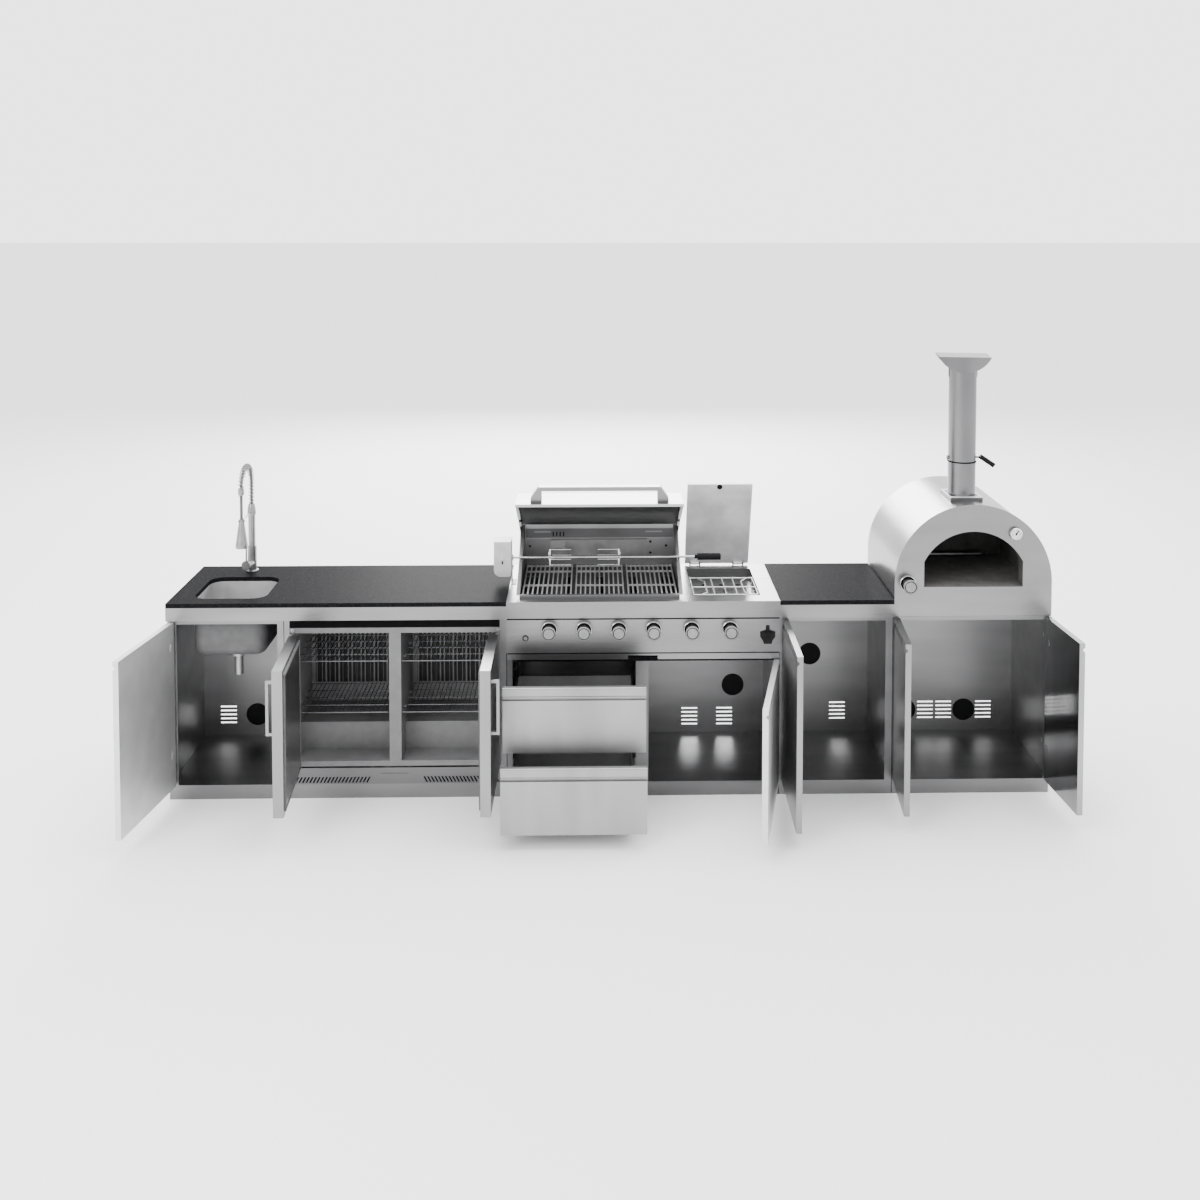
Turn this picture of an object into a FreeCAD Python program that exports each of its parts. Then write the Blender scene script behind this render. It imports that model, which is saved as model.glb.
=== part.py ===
import FreeCAD, Part
import math
import os

# Outdoor kitchen island, modelled in millimetres.
# X runs along the island, Y from the front to the back, Z up from the floor.
# The origin is on the floor, under the middle of the front, in the cabinets' front plane.
# The island is modelled as it stands open: each leaf is built closed and then swung or slid.

V = FreeCAD.Vector

# Overall sizes
sink_w = 525.0
fridge_w = 1008.0
grill_w = 1244.0
narrow_w = 521.0
oven_w = 726.0
carcass_depth = 560.0
carcass_h = 830.0
plinth_h = 65.0
band_h = 60.0
slab_t = 20.0
overhang_front = 25.0
overhang_back = 17.0
sheet = 1.5

# Places along the island
sink_x = -(sink_w + fridge_w + grill_w + narrow_w + oven_w) / 2
fridge_x = sink_x + sink_w
grill_x = fridge_x + fridge_w
narrow_x = grill_x + grill_w
oven_x = narrow_x + narrow_w
island_end = oven_x + oven_w
worktop_z = carcass_h + band_h + slab_t
slab_z = carcass_h + band_h
back_y = carcass_depth + overhang_back

# Cabinet frames
frame_d = 20.0
rail_h = 22.0
skirt_return = 30.0
sink_stiles = (41.0, 30.0)
fridge_stiles = (25.0, 31.0)
grill_stiles = (26.0, 30.0)
narrow_stiles = (30.0, 33.0)
oven_stiles = (24.0, 24.0)
mid_stile_x = 588.0
mid_stile_w = 58.0

# Doors
door_t = 25.0
door_gap = 1.5
skin_t = 1.5
door_bottom = 68.0
door_top = 824.0
pull_drop = 28.0
pull_depth = 9.0
pin_in = 6.0
pin_r = 2.5
pin_gap = 0.3
pin_plate_t = 1.6
cup_r = 17.5
cup_proud = 1.0
hinge_low = 150.0
hinge_high = 110.0

# Rest positions of what opens
sink_door_open = 98.0
fridge_left_open = 86.2
fridge_right_open = 89.8
grill_door_open = 78.0
narrow_door_open = 91.0
oven_left_open = 95.0
oven_right_open = 94.0
top_drawer_out = 331.0
bottom_drawer_out = 480.0
hood_open = 50.0
lid_open = 67.0

# Door reveals, from the cabinet's ends to the leaf
sink_reveals = (9.0, 4.0)
narrow_reveals = (13.0, 5.0)
oven_reveals = (3.0, 1.5)
oven_leaf_gap = 3.0
oven_left_w = 358.0
grill_reveals = (5.0, 1.0)
front_gap = 3.0
front_bottom = 66.0
front_top = 638.0
drawer_split = 4.0

# Service holes and louvres in the back panels
hole_r = 51.0
louvre_w = 78.0
louvre_h = 7.0
louvre_pitch = 20.0
louvre_rows = 5

# Sink and tap
bowl_x = 98.0
bowl_w = 330.0
bowl_y = 50.0
bowl_d = 340.0
bowl_depth = 248.0
bowl_corner = 65.0
bowl_foot = 50.0
bowl_lip = 18.0
waste_r = 45.0
waste_tail_r = 20.0
waste_tail = 95.0
tap_x = 258.0
tap_y = 504.0
tap_body_r = 22.0
tap_body_h = 121.0
tap_post_r = 17.0
tap_post_top = 300.0
tap_hole_r = 18.0
valve_r = 23.0
valve_out = 52.0
valve_turn = 14.0
lever_l = 62.0
arch_r = 95.0
arch_spring_up = 437.0
spring_r = 12.0
spring_wire = 4.5
spring_pitch = 17.0
hose_r = 7.0
neck_r = 11.0
spray_top = 284.0
spray_bottom = 164.0

# Fridge
fridge_side = 41.0
mullion_w = 54.0
fridge_low = 148.0
fridge_high = 790.0
fridge_lip = 24.0
fridge_depth = 540.0
fridge_back_t = 60.0
step_y = 140.0
step_z = 298.0
step_t = 25.0
cover_y = 392.0
shelf_levels = (395.0, 632.0)
shelf_depth = 360.0
shelf_wire = 1.5
shelf_rod = 3.0
shelf_pitch = 20.0
shelf_bar_pitch = 104.0
fridge_door_t = 44.0
gasket_t = 7.5
gasket_w = 14.0
gasket_in = 20.0
fridge_leaf_low = 148.0
fridge_leaf_high = 772.0
fridge_leaf_x = (33.0, 975.0)
fridge_left_w = 466.0
leaf_gap = 4.0
pull_l = 234.0
pull_w = 12.0
pull_out = 34.0
pull_from_edge = 58.0

# Grill
panel_low = 674.0
deck_z = 909.0
rim_z = 925.0
firebox_x = 57.0
firebox_w = 733.0
firebox_front = 30.0
firebox_back = 545.0
firebox_low = 700.0
firebox_flange = 17.0
back_wall_z = 1120.0
rim_w = 15.0
grate_z = 920.0
grate_rod = 3.2
grate_pitch = 22.0
grate_count = 3
grate_rods = 11
hood_x = 31.0
hood_w = 785.0
hood_lip = (30.0, 926.0)
hood_panel = 240.0
hood_panel_angle = 50.0
hood_bend_r = 160.0
hood_back = (560.0, 1128.0)
hood_back_low = 1040.0
hood_sheet = 1.5
hood_end = 2.0
hood_flange = 14.0
hood_pivot = (505.0, 987.0)
hood_pin_r = 6.0
handle_w = 646.0
handle_h = 74.0
handle_leg = 52.0
handle_bar = 19.0
handle_depth = 52.0
spit_y = 290.0
spit_z = 1027.2
spit_r = 6.0
knob_z = 782.0
knob_places = (194.0, 351.5, 509.5, 667.5, 841.0, 1016.0)
knob_r = 32.0
knob_neck_r = 24.0
knob_out = 64.0
bezel_r = 38.0
bezel_l = 10.0
side_x = 852.0
side_w = 312.0
side_y = 62.0
side_d = 430.0
side_deep = 42.0
lid_x = 847.5
lid_w = 314.0
lid_front = 78.0
lid_back = 558.0
lid_t = 16.0
tray_low = 643.0
tray_h = 26.0
tray_back = 480.0
tray_notch = 137.0
drawer_l = 500.0
drawer_h = 130.0
runner_t = 12.5
runner_h = 45.0

# Pizza oven
arch_w = 720.0
arch_axis_z = 987.0
mouth_w = 452.0
mouth_low = 969.0
mouth_side = 1083.0
mouth_arc_r = 254.0
shell_back = 600.0
chamber_r = 290.0
chamber_back = 520.0
neck_y = 40.0
stone_t = 18.0
flue_x = 352.0
flue_y = 168.0
flue_r = 63.5
flue_low = 1352.0
flue_top = 1945.0
flange_w = 150.0
flange_d = 185.0
cap_w = 236.0
cap_d = 172.0
cap_z = 2006.0
cap_drop = 74.0
damper_z = 1526.0
cap_turn = -8.0


def box(x, y, z):
    return Part.makeBox(x[1] - x[0], y[1] - y[0], z[1] - z[0], V(x[0], y[0], z[0]))


def rod(start, end, radius):
    start = V(*start)
    run = V(*end) - start
    return Part.makeCylinder(radius, run.Length, start, run)


def pipe(start, end, radius, bore):
    return rod(start, end, radius).cut(rod(start, end, bore))


def prism(points, along, length):
    corners = [V(*point) for point in points]
    face = Part.Face(Part.makePolygon(corners + corners[:1]))
    return face.extrude(V(*along) * length)


def fuse(shapes):
    return shapes[0].multiFuse(shapes[1:]).removeSplitter() if len(shapes) > 1 else shapes[0]


def rounded(shape, axis, radius):
    direction = V(*axis)
    edges = []
    for edge in shape.Edges:
        if edge.Curve.TypeId != "Part::GeomLine":
            continue
        if abs(abs(edge.tangentAt(edge.FirstParameter).dot(direction)) - 1) < 1e-6:
            edges.append(edge)
    return shape.makeFillet(radius, edges)


def turned(shapes, centre, axis, degrees):
    done = []
    for shape in shapes:
        copy = shape.copy()
        copy.rotate(V(*centre), V(*axis), degrees)
        done.append(copy)
    return done


def moved(shapes, x=0.0, y=0.0, z=0.0):
    done = []
    for shape in shapes:
        copy = shape.copy()
        copy.translate(V(x, y, z))
        done.append(copy)
    return done


nodes = {}


def keep(name, shapes):
    solids = []
    for shape in shapes:
        solids.extend(shape.Solids)
    nodes.setdefault(name, []).extend(solids)


# Cabinets and their back panels

def cabinet(name, x0, width, stiles, top=carcass_h, rail=True):
    x1 = x0 + width
    inner = (x0 + sheet, x1 - sheet)
    back = carcass_depth - sheet
    skirt = box((x0, x1), (0, sheet), (0, plinth_h))
    skirt_foot = box((x0, x1), (sheet, skirt_return), (0, sheet))
    pieces = [
        skirt.fuse(skirt_foot),
        box((x0, x0 + sheet), (skirt_return, back), (0, plinth_h - sheet)),
        box((x1 - sheet, x1), (skirt_return, back), (0, plinth_h - sheet)),
        box((x0, x1), (back, carcass_depth), (0, plinth_h)),
        box((x0, x1), (sheet, back), (plinth_h - sheet, plinth_h)),
        box((x0, x0 + sheet), (frame_d, back), (plinth_h, top)),
        box((x1 - sheet, x1), (frame_d, back), (plinth_h, top)),
        box((x0, x0 + stiles[0]), (0, frame_d), (plinth_h, top)),
        box((x1 - stiles[1], x1), (0, frame_d), (plinth_h, top)),
    ]
    if rail:
        low = carcass_h - rail_h
        pieces.append(box((x0 + stiles[0], x1 - stiles[1]), (0, frame_d), (low, carcass_h)))
        pieces.append(box(inner, (back - frame_d, back), (low, carcass_h)))
    keep(name, pieces)


def back_panel(x0, width, holes, louvres, louvre_low):
    back = carcass_depth - sheet
    panel = box((x0, x0 + width), (back, carcass_depth), (plinth_h, carcass_h))
    cuts = []
    for x, z in holes:
        cuts.append(rod((x0 + x, back - 1, z), (x0 + x, carcass_depth + 1, z), hole_r))
    for x in louvres:
        for row in range(louvre_rows):
            low = louvre_low + row * louvre_pitch
            left = x0 + x - louvre_w / 2
            cuts.append(box((left, left + louvre_w), (back - 1, carcass_depth + 1), (low, low + louvre_h)))
    return panel.cut(cuts)


cabinet("sink_cabinet", sink_x, sink_w, sink_stiles)
cabinet("fridge_bay", fridge_x, fridge_w, fridge_stiles, rail=False)
cabinet("grill_cabinet", grill_x, grill_w, grill_stiles, rail=False)
cabinet("narrow_cabinet", narrow_x, narrow_w, narrow_stiles)
cabinet("oven_cabinet", oven_x, oven_w, oven_stiles)


def grill_partition():
    left = grill_x + mid_stile_x
    stile = box((left, left + mid_stile_w), (0, frame_d), (plinth_h, tray_low - 2))
    wall_z = (plinth_h, tray_low - 2)
    back = carcass_depth - sheet
    left_wall = box((left, left + sheet), (frame_d, back), wall_z)
    right_wall = box((left + mid_stile_w - sheet, left + mid_stile_w), (frame_d, back), wall_z)
    return [stile, left_wall, right_wall]


def tray_ledges():
    back = carcass_depth - sheet
    z = (tray_low - 2, tray_low)
    ledge = 38.0
    inner = (grill_x + sheet, grill_x + grill_w - sheet)
    left = box((inner[0], inner[0] + ledge), (frame_d, back), z)
    right = box((inner[1] - ledge, inner[1]), (frame_d, back), z)
    mid_x = grill_x + mid_stile_x
    middle = box((mid_x, mid_x + mid_stile_w), (frame_d, back), z)
    return [left, right, middle]


keep("grill_cabinet", grill_partition() + tray_ledges())

back_panels = [
    back_panel(sink_x, sink_w, [(261, 171)], [119], 127),
    back_panel(grill_x, grill_w, [(1089, 305)], [873, 1047], 103),
    back_panel(narrow_x, narrow_w, [(229, 459)], [369], 127),
    back_panel(oven_x, oven_w, [(188, 171), (484, 170)], [291, 383, 583], 127),
]
keep("back_panels", back_panels)


# Worktops

left_top_x = (sink_x, grill_x)
right_top_x = (narrow_x, oven_x)


def worktop_slab(x):
    return box(x, (-overhang_front, back_y), (slab_z, worktop_z))


def bowl_outline(grow, z):
    x = (sink_x + bowl_x - grow, sink_x + bowl_x + bowl_w + grow)
    y = (bowl_y - grow, bowl_y + bowl_d + grow)
    return rounded(box(x, y, z), (0, 0, 1), bowl_corner + grow)


def left_worktop():
    slab = worktop_slab(left_top_x)
    cutout = bowl_outline(0, (slab_z - 1, worktop_z + 1))
    tap_hole = rod((sink_x + tap_x, tap_y, slab_z - 1), (sink_x + tap_x, tap_y, worktop_z + 1), tap_hole_r)
    return slab.cut([cutout, tap_hole])


keep("granite_worktops", [left_worktop(), worktop_slab(right_top_x)])


def worktop_band(x):
    """A folded channel under each edge of a slab, standing on the cabinets."""
    z = (carcass_h, slab_z)
    front = box(x, (-overhang_front, frame_d), z)
    front_bore = box((x[0] - 1, x[1] + 1), (sheet - overhang_front, frame_d + 1), (z[0] + sheet, z[1] - sheet))
    back = box(x, (carcass_depth - frame_d, back_y), z)
    back_bore = box((x[0] - 1, x[1] + 1), (carcass_depth - frame_d - 1, back_y - sheet),
                    (z[0] + sheet, z[1] - sheet))
    ends = []
    for left in (x[0], x[1] - sheet):
        ends.append(box((left, left + sheet), (frame_d, carcass_depth - frame_d), z))
    return [front.cut(front_bore), back.cut(back_bore)] + ends


keep("worktop_bands", worktop_band(left_top_x) + worktop_band(right_top_x))


# Sink and its waste

def sink_bowl():
    low = slab_z - bowl_depth
    outer = bowl_outline(sheet, (low - sheet, slab_z))
    inner = bowl_outline(0, (low, slab_z + 1))
    foot = [edge for edge in outer.Edges if edge.BoundBox.ZMax < low]
    outer = outer.makeFillet(bowl_foot + sheet, foot)
    foot = [edge for edge in inner.Edges if edge.BoundBox.ZMax < low + 1e-3]
    inner = inner.makeFillet(bowl_foot, foot)
    lip = bowl_outline(bowl_lip, (slab_z - sheet, slab_z))
    x = sink_x + bowl_x + bowl_w / 2
    y = bowl_y + bowl_d / 2
    drain = rod((x, y, low - 5), (x, y, low + 5), waste_r - 3)
    return outer.fuse(lip).cut(inner).cut(drain)


def sink_waste():
    low = slab_z - bowl_depth
    x = sink_x + bowl_x + bowl_w / 2
    y = bowl_y + bowl_d / 2
    seat = rod((x, y, low), (x, y, low + 1.5), waste_r)
    body = rod((x, y, low - 45), (x, y, low), waste_r - 3.5)
    nut = rod((x, y, low - sheet - 14), (x, y, low - sheet), waste_r + 8)
    tail = rod((x, y, low - 45 - waste_tail), (x, y, low - 45), waste_tail_r)
    bore = rod((x, y, low - 45 - waste_tail - 1), (x, y, low - 30), waste_tail_r - 2)
    cup = rod((x, y, low - 38), (x, y, low + 2), waste_r - 8)
    strainer = rod((x, y, low - 6), (x, y, low - 4), waste_r - 8)
    return fuse([seat, body, nut, tail]).cut([bore, cup]).fuse(strainer)


keep("sink_bowl", [sink_bowl(), sink_waste()])


# Tap

tap_at = (sink_x + tap_x, tap_y)


def tap_post():
    x, y = tap_at
    foot = rod((x, y, worktop_z), (x, y, worktop_z + 6), 29)
    body = rod((x, y, worktop_z), (x, y, worktop_z + tap_body_h), tap_body_r)
    post = rod((x, y, worktop_z), (x, y, worktop_z + tap_post_top), tap_post_r)
    shank = rod((x, y, slab_z - 40), (x, y, worktop_z), tap_hole_r - 3)
    nut = rod((x, y, slab_z - 14), (x, y, slab_z), 28)
    turn = math.radians(valve_turn)
    out = (x - valve_out * math.sin(turn), y - valve_out * math.cos(turn), worktop_z + 40)
    valve = rod((x, y, worktop_z + 40), out, valve_r - 4)
    return fuse([foot, body, post, shank, nut, valve])


def tap_lever():
    x, y = tap_at
    turn = math.radians(valve_turn)
    ax, ay = -math.sin(turn), -math.cos(turn)
    z = worktop_z + 40
    near, far = valve_out + 0.3, valve_out + 14
    disc = rod((x + ax * near, y + ay * near, z), (x + ax * far, y + ay * far, z), valve_r)
    mid = (near + far) / 2
    foot = (x + ax * mid, y + ay * mid, z)
    arm = rod(foot, (foot[0], foot[1], z + valve_r + lever_l), 4)
    tip = Part.makeSphere(4.6, V(foot[0], foot[1], z + valve_r + lever_l))
    return fuse([disc, arm, tip])


def arch_point(s):
    """Point, direction and in-plane normal of the tap's arch at distance s along it."""
    x, y = tap_at
    up = arch_spring_up - tap_post_top
    base = worktop_z + tap_post_top
    if s < up:
        return V(x, y, base + s), V(0, 0, 1), V(0, -1, 0)
    turn = (s - up) / arch_r
    if turn < math.pi:
        centre = V(x, y - arch_r, base + up)
        out = V(0, math.cos(turn), math.sin(turn))
        return centre + out * arch_r, V(0, -math.sin(turn), math.cos(turn)), out * -1
    down = s - up - math.pi * arch_r
    return V(x, y - 2 * arch_r, base + up - down), V(0, 0, -1), V(0, 1, 0)


arch_up = arch_spring_up - tap_post_top
spring_tail = 24.0
spring_l = arch_up + math.pi * arch_r + spring_tail


def spring_point(s):
    centre, along, normal = arch_point(s)
    phase = 2 * math.pi * s / spring_pitch
    side = V(1, 0, 0)
    return centre + normal * (spring_r * math.cos(phase)) + side * (spring_r * math.sin(phase))


def spring_direction(s):
    step = 0.05
    return (spring_point(s + step) - spring_point(s - step)).normalize()


def biarc(start, start_dir, end, end_dir):
    """Two arcs that leave start and reach end along the given directions."""
    gap = end - start
    both = start_dir + end_dir
    quad = both.dot(both) - 4
    lin = gap.dot(both)
    reach = (-lin - math.sqrt(lin * lin - quad * gap.dot(gap))) / quad
    knee_a = start + start_dir * reach
    knee_b = end - end_dir * reach
    joint = (knee_a + knee_b) * 0.5
    arcs = []
    for a, knee, b in ((start, knee_a, joint), (joint, knee_b, end)):
        chord = (a + b) * 0.5
        leg = (knee - a).Length
        half = (b - a).Length / 2
        rise = (knee - chord).Length
        sagitta = half * rise / (leg + half)
        middle = chord + (knee - chord).normalize() * sagitta
        arcs.append(Part.Arc(a, middle, b).toShape())
    return arcs


def tap_spring():
    step = spring_pitch / 4
    count = int(spring_l / step)
    edges = []
    least = 1e9
    for k in range(count):
        a, b = k * step + step, (k + 1) * step + step
        edges.extend(biarc(spring_point(a), spring_direction(a), spring_point(b), spring_direction(b)))
    for k in range(4 * count):
        here = spring_point(step + k * step / 4)
        for far in range(12, 22):
            there = spring_point(step + (k + far) * step / 4)
            least = min(least, (there - here).Length)
    print("spring turns", round(count / 4, 2), "least gap", round(least - spring_wire, 2))
    wire = Part.Wire(edges)
    start = spring_point(step)
    circle = Part.Wire(Part.makeCircle(spring_wire / 2, start, spring_direction(step)))
    return wire.makePipeShell([circle], True, False)


def arch_tube(radius, last):
    """The hose: up inside the spring, over the arch and down to the spray head."""
    x, y = tap_at
    base = worktop_z + tap_post_top
    top = base + arch_up
    centre = V(x, y - arch_r, top)
    middle = centre + V(0, 0, arch_r)
    path = Part.Wire([
        Part.makeLine(V(x, y, base), V(x, y, top)),
        Part.Arc(V(x, y, top), middle, V(x, y - 2 * arch_r, top)).toShape(),
        Part.makeLine(V(x, y - 2 * arch_r, top), V(x, y - 2 * arch_r, last)),
    ])
    circle = Part.Wire(Part.makeCircle(radius, V(x, y, base), V(0, 0, 1)))
    return path.makePipeShell([circle], True, False)


def spray_head():
    x, y = tap_at
    y -= 2 * arch_r
    low = worktop_z + spray_bottom
    high = worktop_z + spray_top
    cone = Part.makeCone(29, 13, high - low - 12, V(x, y, low + 12))
    face = rod((x, y, low), (x, y, low + 12), 29)
    neck = rod((x, y, high - 1), (x, y, high + 16), neck_r)
    head = fuse([cone, face, neck])
    bore = rod((x, y, high - 10), (x, y, high + 17), hose_r + 0.3)
    return head.cut(bore)


def spray_arm():
    x, y = tap_at
    z = worktop_z + spray_top + 2
    end_y = y - 2 * arch_r
    collar = pipe((x, y, z - 9), (x, y, z + 9), tap_post_r + 4, tap_post_r + 0.06)
    clip = pipe((x, end_y, z + 1), (x, end_y, z + 9), 16, neck_r + 0.2)
    clip_gap = box((x - 6, x + 6), (end_y - 20, end_y), (z, z + 10))
    arm = rod((x, y - tap_post_r - 2, z + 5), (x, end_y + 14, z + 5), 4)
    return [collar.fuse(arm).fuse(clip.cut(clip_gap)).removeSplitter()]


keep("faucet_post", [tap_post()])
keep("faucet_lever", [tap_lever()])
keep("faucet_spring", [tap_spring()])
keep("faucet_hose", [arch_tube(hose_r, worktop_z + spray_top - 9)])
keep("faucet_spray_head", [spray_head()] + spray_arm())


# Doors

def pull_groove(x, y_front, z):
    """A V-shaped finger groove cut into a leaf's front face, running along its free edge."""
    y0 = y_front - 1
    profile = [(x, y0, z - 14), (x, y0 + pull_depth + 1, z - 3), (x, y0 + pull_depth + 1, z + 3), (x, y0, z + 10)]
    return profile


def leaf(x0, x1, z0, z1, hinge_left):
    """A closed door leaf with pin bores at its hinge edge and a finger groove across its top."""
    y = (-door_gap - door_t, -door_gap)
    body = box((x0, x1), y, (z0, z1))
    px = x0 + pin_in if hinge_left else x1 - pin_in
    py = y[0] + pin_in
    cuts = []
    for low in (z0 - 1, z1 - 13):
        cuts.append(rod((px, py, low), (px, py, low + 14), pin_r + 0.06))
    groove_z = z1 - pull_drop
    profile = pull_groove(x0 - 1, y[0], groove_z)
    cuts.append(prism(profile, (1, 0, 0), x1 - x0 + 2))
    hollow_x = (x0 + 14, x1 - skin_t) if hinge_left else (x0 + skin_t, x1 - 14)
    cuts.append(box(hollow_x, (y[0] + skin_t, y[1] - skin_t), (z0 + 14, z1 - pull_drop - 18)))
    body = body.cut(cuts)
    cup_x = x0 + 22.5 if hinge_left else x1 - 22.5
    cups = []
    for z in (z0 + hinge_low, z1 - hinge_high):
        cups.append(rod((cup_x, y[1] - 11, z), (cup_x, y[1] + cup_proud, z), cup_r))
    return fuse([body] + cups), (px, py)


def hinge_pins(px, py, z0, z1, stile_x):
    """Top and bottom pivot plates on the stile, with the pins that a leaf turns on."""
    x = (min(px - 7, stile_x), max(px + 7, stile_x))
    pieces = []
    for z, up in ((z0, 1), (z1, -1)):
        plate_z = (z - 2.2, z - 0.6) if up == 1 else (z + 0.6, z + 2.2)
        plate = box((px - 6, px + 6), (py - 5, 0), plate_z)
        pin = rod((px, py, plate_z[0] if up == 1 else plate_z[1]), (px, py, z + up * 11), pin_r)
        pieces.append(plate.fuse(pin).removeSplitter())
    return pieces


def hinge_plates(side_x, inward, z0, z1):
    """Mounting plates of the cup hinges on the inner side of a cabinet."""
    pieces = []
    x = (side_x, side_x + 9) if inward > 0 else (side_x - 9, side_x)
    for z in (z0 + hinge_low, z1 - hinge_high):
        pieces.append(box(x, (frame_d, frame_d + 52), (z - 9, z + 9)))
    return pieces


def hang(name, x, z, hinge_left, opened, cabinet_side):
    shape, (px, py) = leaf(x[0], x[1], z[0], z[1], hinge_left)
    turn = -opened if hinge_left else opened
    keep(name, turned([shape], (px, py, 0), (0, 0, 1), turn))
    keep("cabinet_hardware", hinge_pins(px, py, z[0], z[1], px))
    keep("cabinet_hardware", hinge_plates(cabinet_side, 1 if hinge_left else -1, z[0], z[1]))


door_z = (door_bottom, door_top)
hang("sink_door", (sink_x + sink_reveals[0], sink_x + sink_w - sink_reveals[1]), door_z, True,
     sink_door_open, sink_x + sheet)
hang("narrow_door", (narrow_x + narrow_reveals[0], narrow_x + narrow_w - narrow_reveals[1]), door_z, True,
     narrow_door_open, narrow_x + sheet)
oven_split = oven_x + oven_reveals[0] + oven_left_w
hang("oven_door_left", (oven_x + oven_reveals[0], oven_split), door_z, True, oven_left_open, oven_x + sheet)
hang("oven_door_right", (oven_split + oven_leaf_gap, island_end - oven_reveals[1]), door_z, False,
     oven_right_open, island_end - sheet)
grill_split = grill_x + grill_reveals[0] + 617.0
hang("grill_door", (grill_split + 2, grill_x + grill_w - grill_reveals[1]), (front_bottom, front_top), False,
     grill_door_open, grill_x + grill_w - sheet)


# Drawers

drawer_front_x = (grill_x + grill_reveals[0], grill_split)
drawer_bay = (grill_x + grill_stiles[0], grill_x + mid_stile_x)
front_mid = (front_bottom + front_top) / 2


def drawer(z, box_low):
    """A drawer, closed: front with a rolled finger lip, box and the sliding runner bars."""
    y = (-door_gap - door_t, -door_gap)
    front = box(drawer_front_x, y, z)
    lip_low = z[1] - 43
    groove = [(drawer_front_x[0] - 1, y[0] - 1, lip_low - 12), (drawer_front_x[0] - 1, y[0] + 12, lip_low - 12),
              (drawer_front_x[0] - 1, y[0] + 12, lip_low + 4), (drawer_front_x[0] - 1, y[0] - 1, lip_low)]
    front = front.cut(prism(groove, (1, 0, 0), 2 + drawer_front_x[1] - drawer_front_x[0]))
    edges = []
    for edge in front.Edges:
        b = edge.BoundBox
        if b.XLength > 100 and b.YMax < y[0] + 0.1 and b.ZMin > lip_low - 1:
            edges.append(edge)
    front = front.makeFillet(7, edges)
    hollow_x = (drawer_front_x[0] + skin_t, drawer_front_x[1] - skin_t)
    front = front.cut(box(hollow_x, (y[0] + skin_t, y[1] - skin_t), (z[0] + skin_t, lip_low - 14)))
    side_t = 6.0
    x = (drawer_bay[0] + runner_t + 0.5, drawer_bay[1] - runner_t - 0.5)
    zb = (box_low, box_low + drawer_h)
    inner = (x[0] + side_t, x[1] - side_t)
    depth = (y[1], y[1] + drawer_l)
    back = box(inner, (depth[1] - side_t, depth[1]), zb)
    floor = box(inner, (depth[0], depth[1] - side_t), (zb[0], zb[0] + sheet))
    bar_z = (box_low + 39.3, box_low + 80.7)
    pieces = [front, back, floor]
    for left, sign in ((x[0], -1), (x[1], 1)):
        pieces.append(box((left, left + side_t) if sign < 0 else (left - side_t, left), depth, zb))
        bar_x = (left - 9, left) if sign < 0 else (left, left + 9)
        pieces.append(box(bar_x, (5, 545), bar_z))
    return pieces


def runner_channels(box_low):
    z = (box_low + 37, box_low + 83)
    pieces = []
    for x, sign in ((drawer_bay[0], 1), (drawer_bay[1], -1)):
        back = (x, x + 2) if sign > 0 else (x - 2, x)
        lip = (x + 2, x + 10) if sign > 0 else (x - 10, x - 2)
        y = (22, carcass_depth - sheet)
        pieces.append(box(back, y, z))
        pieces.append(box(lip, y, (z[0], z[0] + 2)))
        pieces.append(box(lip, y, (z[1] - 2, z[1])))
    left_gap = (grill_x + sheet, drawer_bay[0])
    for y in ((frame_d, 60), (500, 540)):
        pieces.append(box(left_gap, y, z))
    return pieces


top_box, bottom_box = 370.0, 82.0
keep("drawer_top", moved(drawer((front_mid + drawer_split / 2, front_top), top_box), y=-top_drawer_out))
keep("drawer_bottom", moved(drawer((front_bottom, front_mid - drawer_split / 2), bottom_box), y=-bottom_drawer_out))
keep("cabinet_hardware", runner_channels(top_box) + runner_channels(bottom_box))


# Grease tray

def grease_tray():
    z0 = tray_low + 0.05
    front_x = (grill_x + 3, grill_x + grill_w - 3)
    front = box(front_x, (-24, -4), (z0, z0 + tray_h))
    notch_x = grill_x + 551
    notch = box((notch_x, notch_x + tray_notch), (-25, -8), (z0 - 1, z0 + 18))
    front = front.cut(notch)
    x = (grill_x + 28, grill_x + grill_w - 30)
    wall = 6.0
    floor = box(x, (-4, tray_back), (z0, z0 + sheet))
    pieces = [front, floor]
    z = (z0 + sheet, z0 + 24)
    pieces.append(box((x[0], x[0] + wall), (-4, tray_back - wall), z))
    pieces.append(box((x[1] - wall, x[1]), (-4, tray_back - wall), z))
    pieces.append(box(x, (tray_back - wall, tray_back), z))
    return pieces


keep("grease_tray", grease_tray())


# Control panel and what it carries

knob_xs = [grill_x + place for place in knob_places]
igniter_at = (grill_x + 87, 744.0)
oven_knob_at = (oven_x + 59, 987.0)
stem_r = 4.0
panel_y = -overhang_front


def control_panel():
    x = (grill_x, grill_x + grill_w)
    front = box(x, (panel_y, panel_y + sheet), (panel_low, carcass_h))
    holes = [rod((kx, panel_y - 1, knob_z), (kx, panel_y + 3, knob_z), 9) for kx in knob_xs]
    holes.append(rod((igniter_at[0], panel_y - 1, igniter_at[1]), (igniter_at[0], panel_y + 3, igniter_at[1]), 8.1))
    low = box(x, (panel_y + sheet, 0), (panel_low, panel_low + sheet))
    ends = []
    for left in (x[0], x[1] - sheet):
        ends.append(box((left, left + sheet), (panel_y + sheet, 0), (panel_low + sheet, carcass_h)))
    return [front.cut(holes), low] + ends


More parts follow.
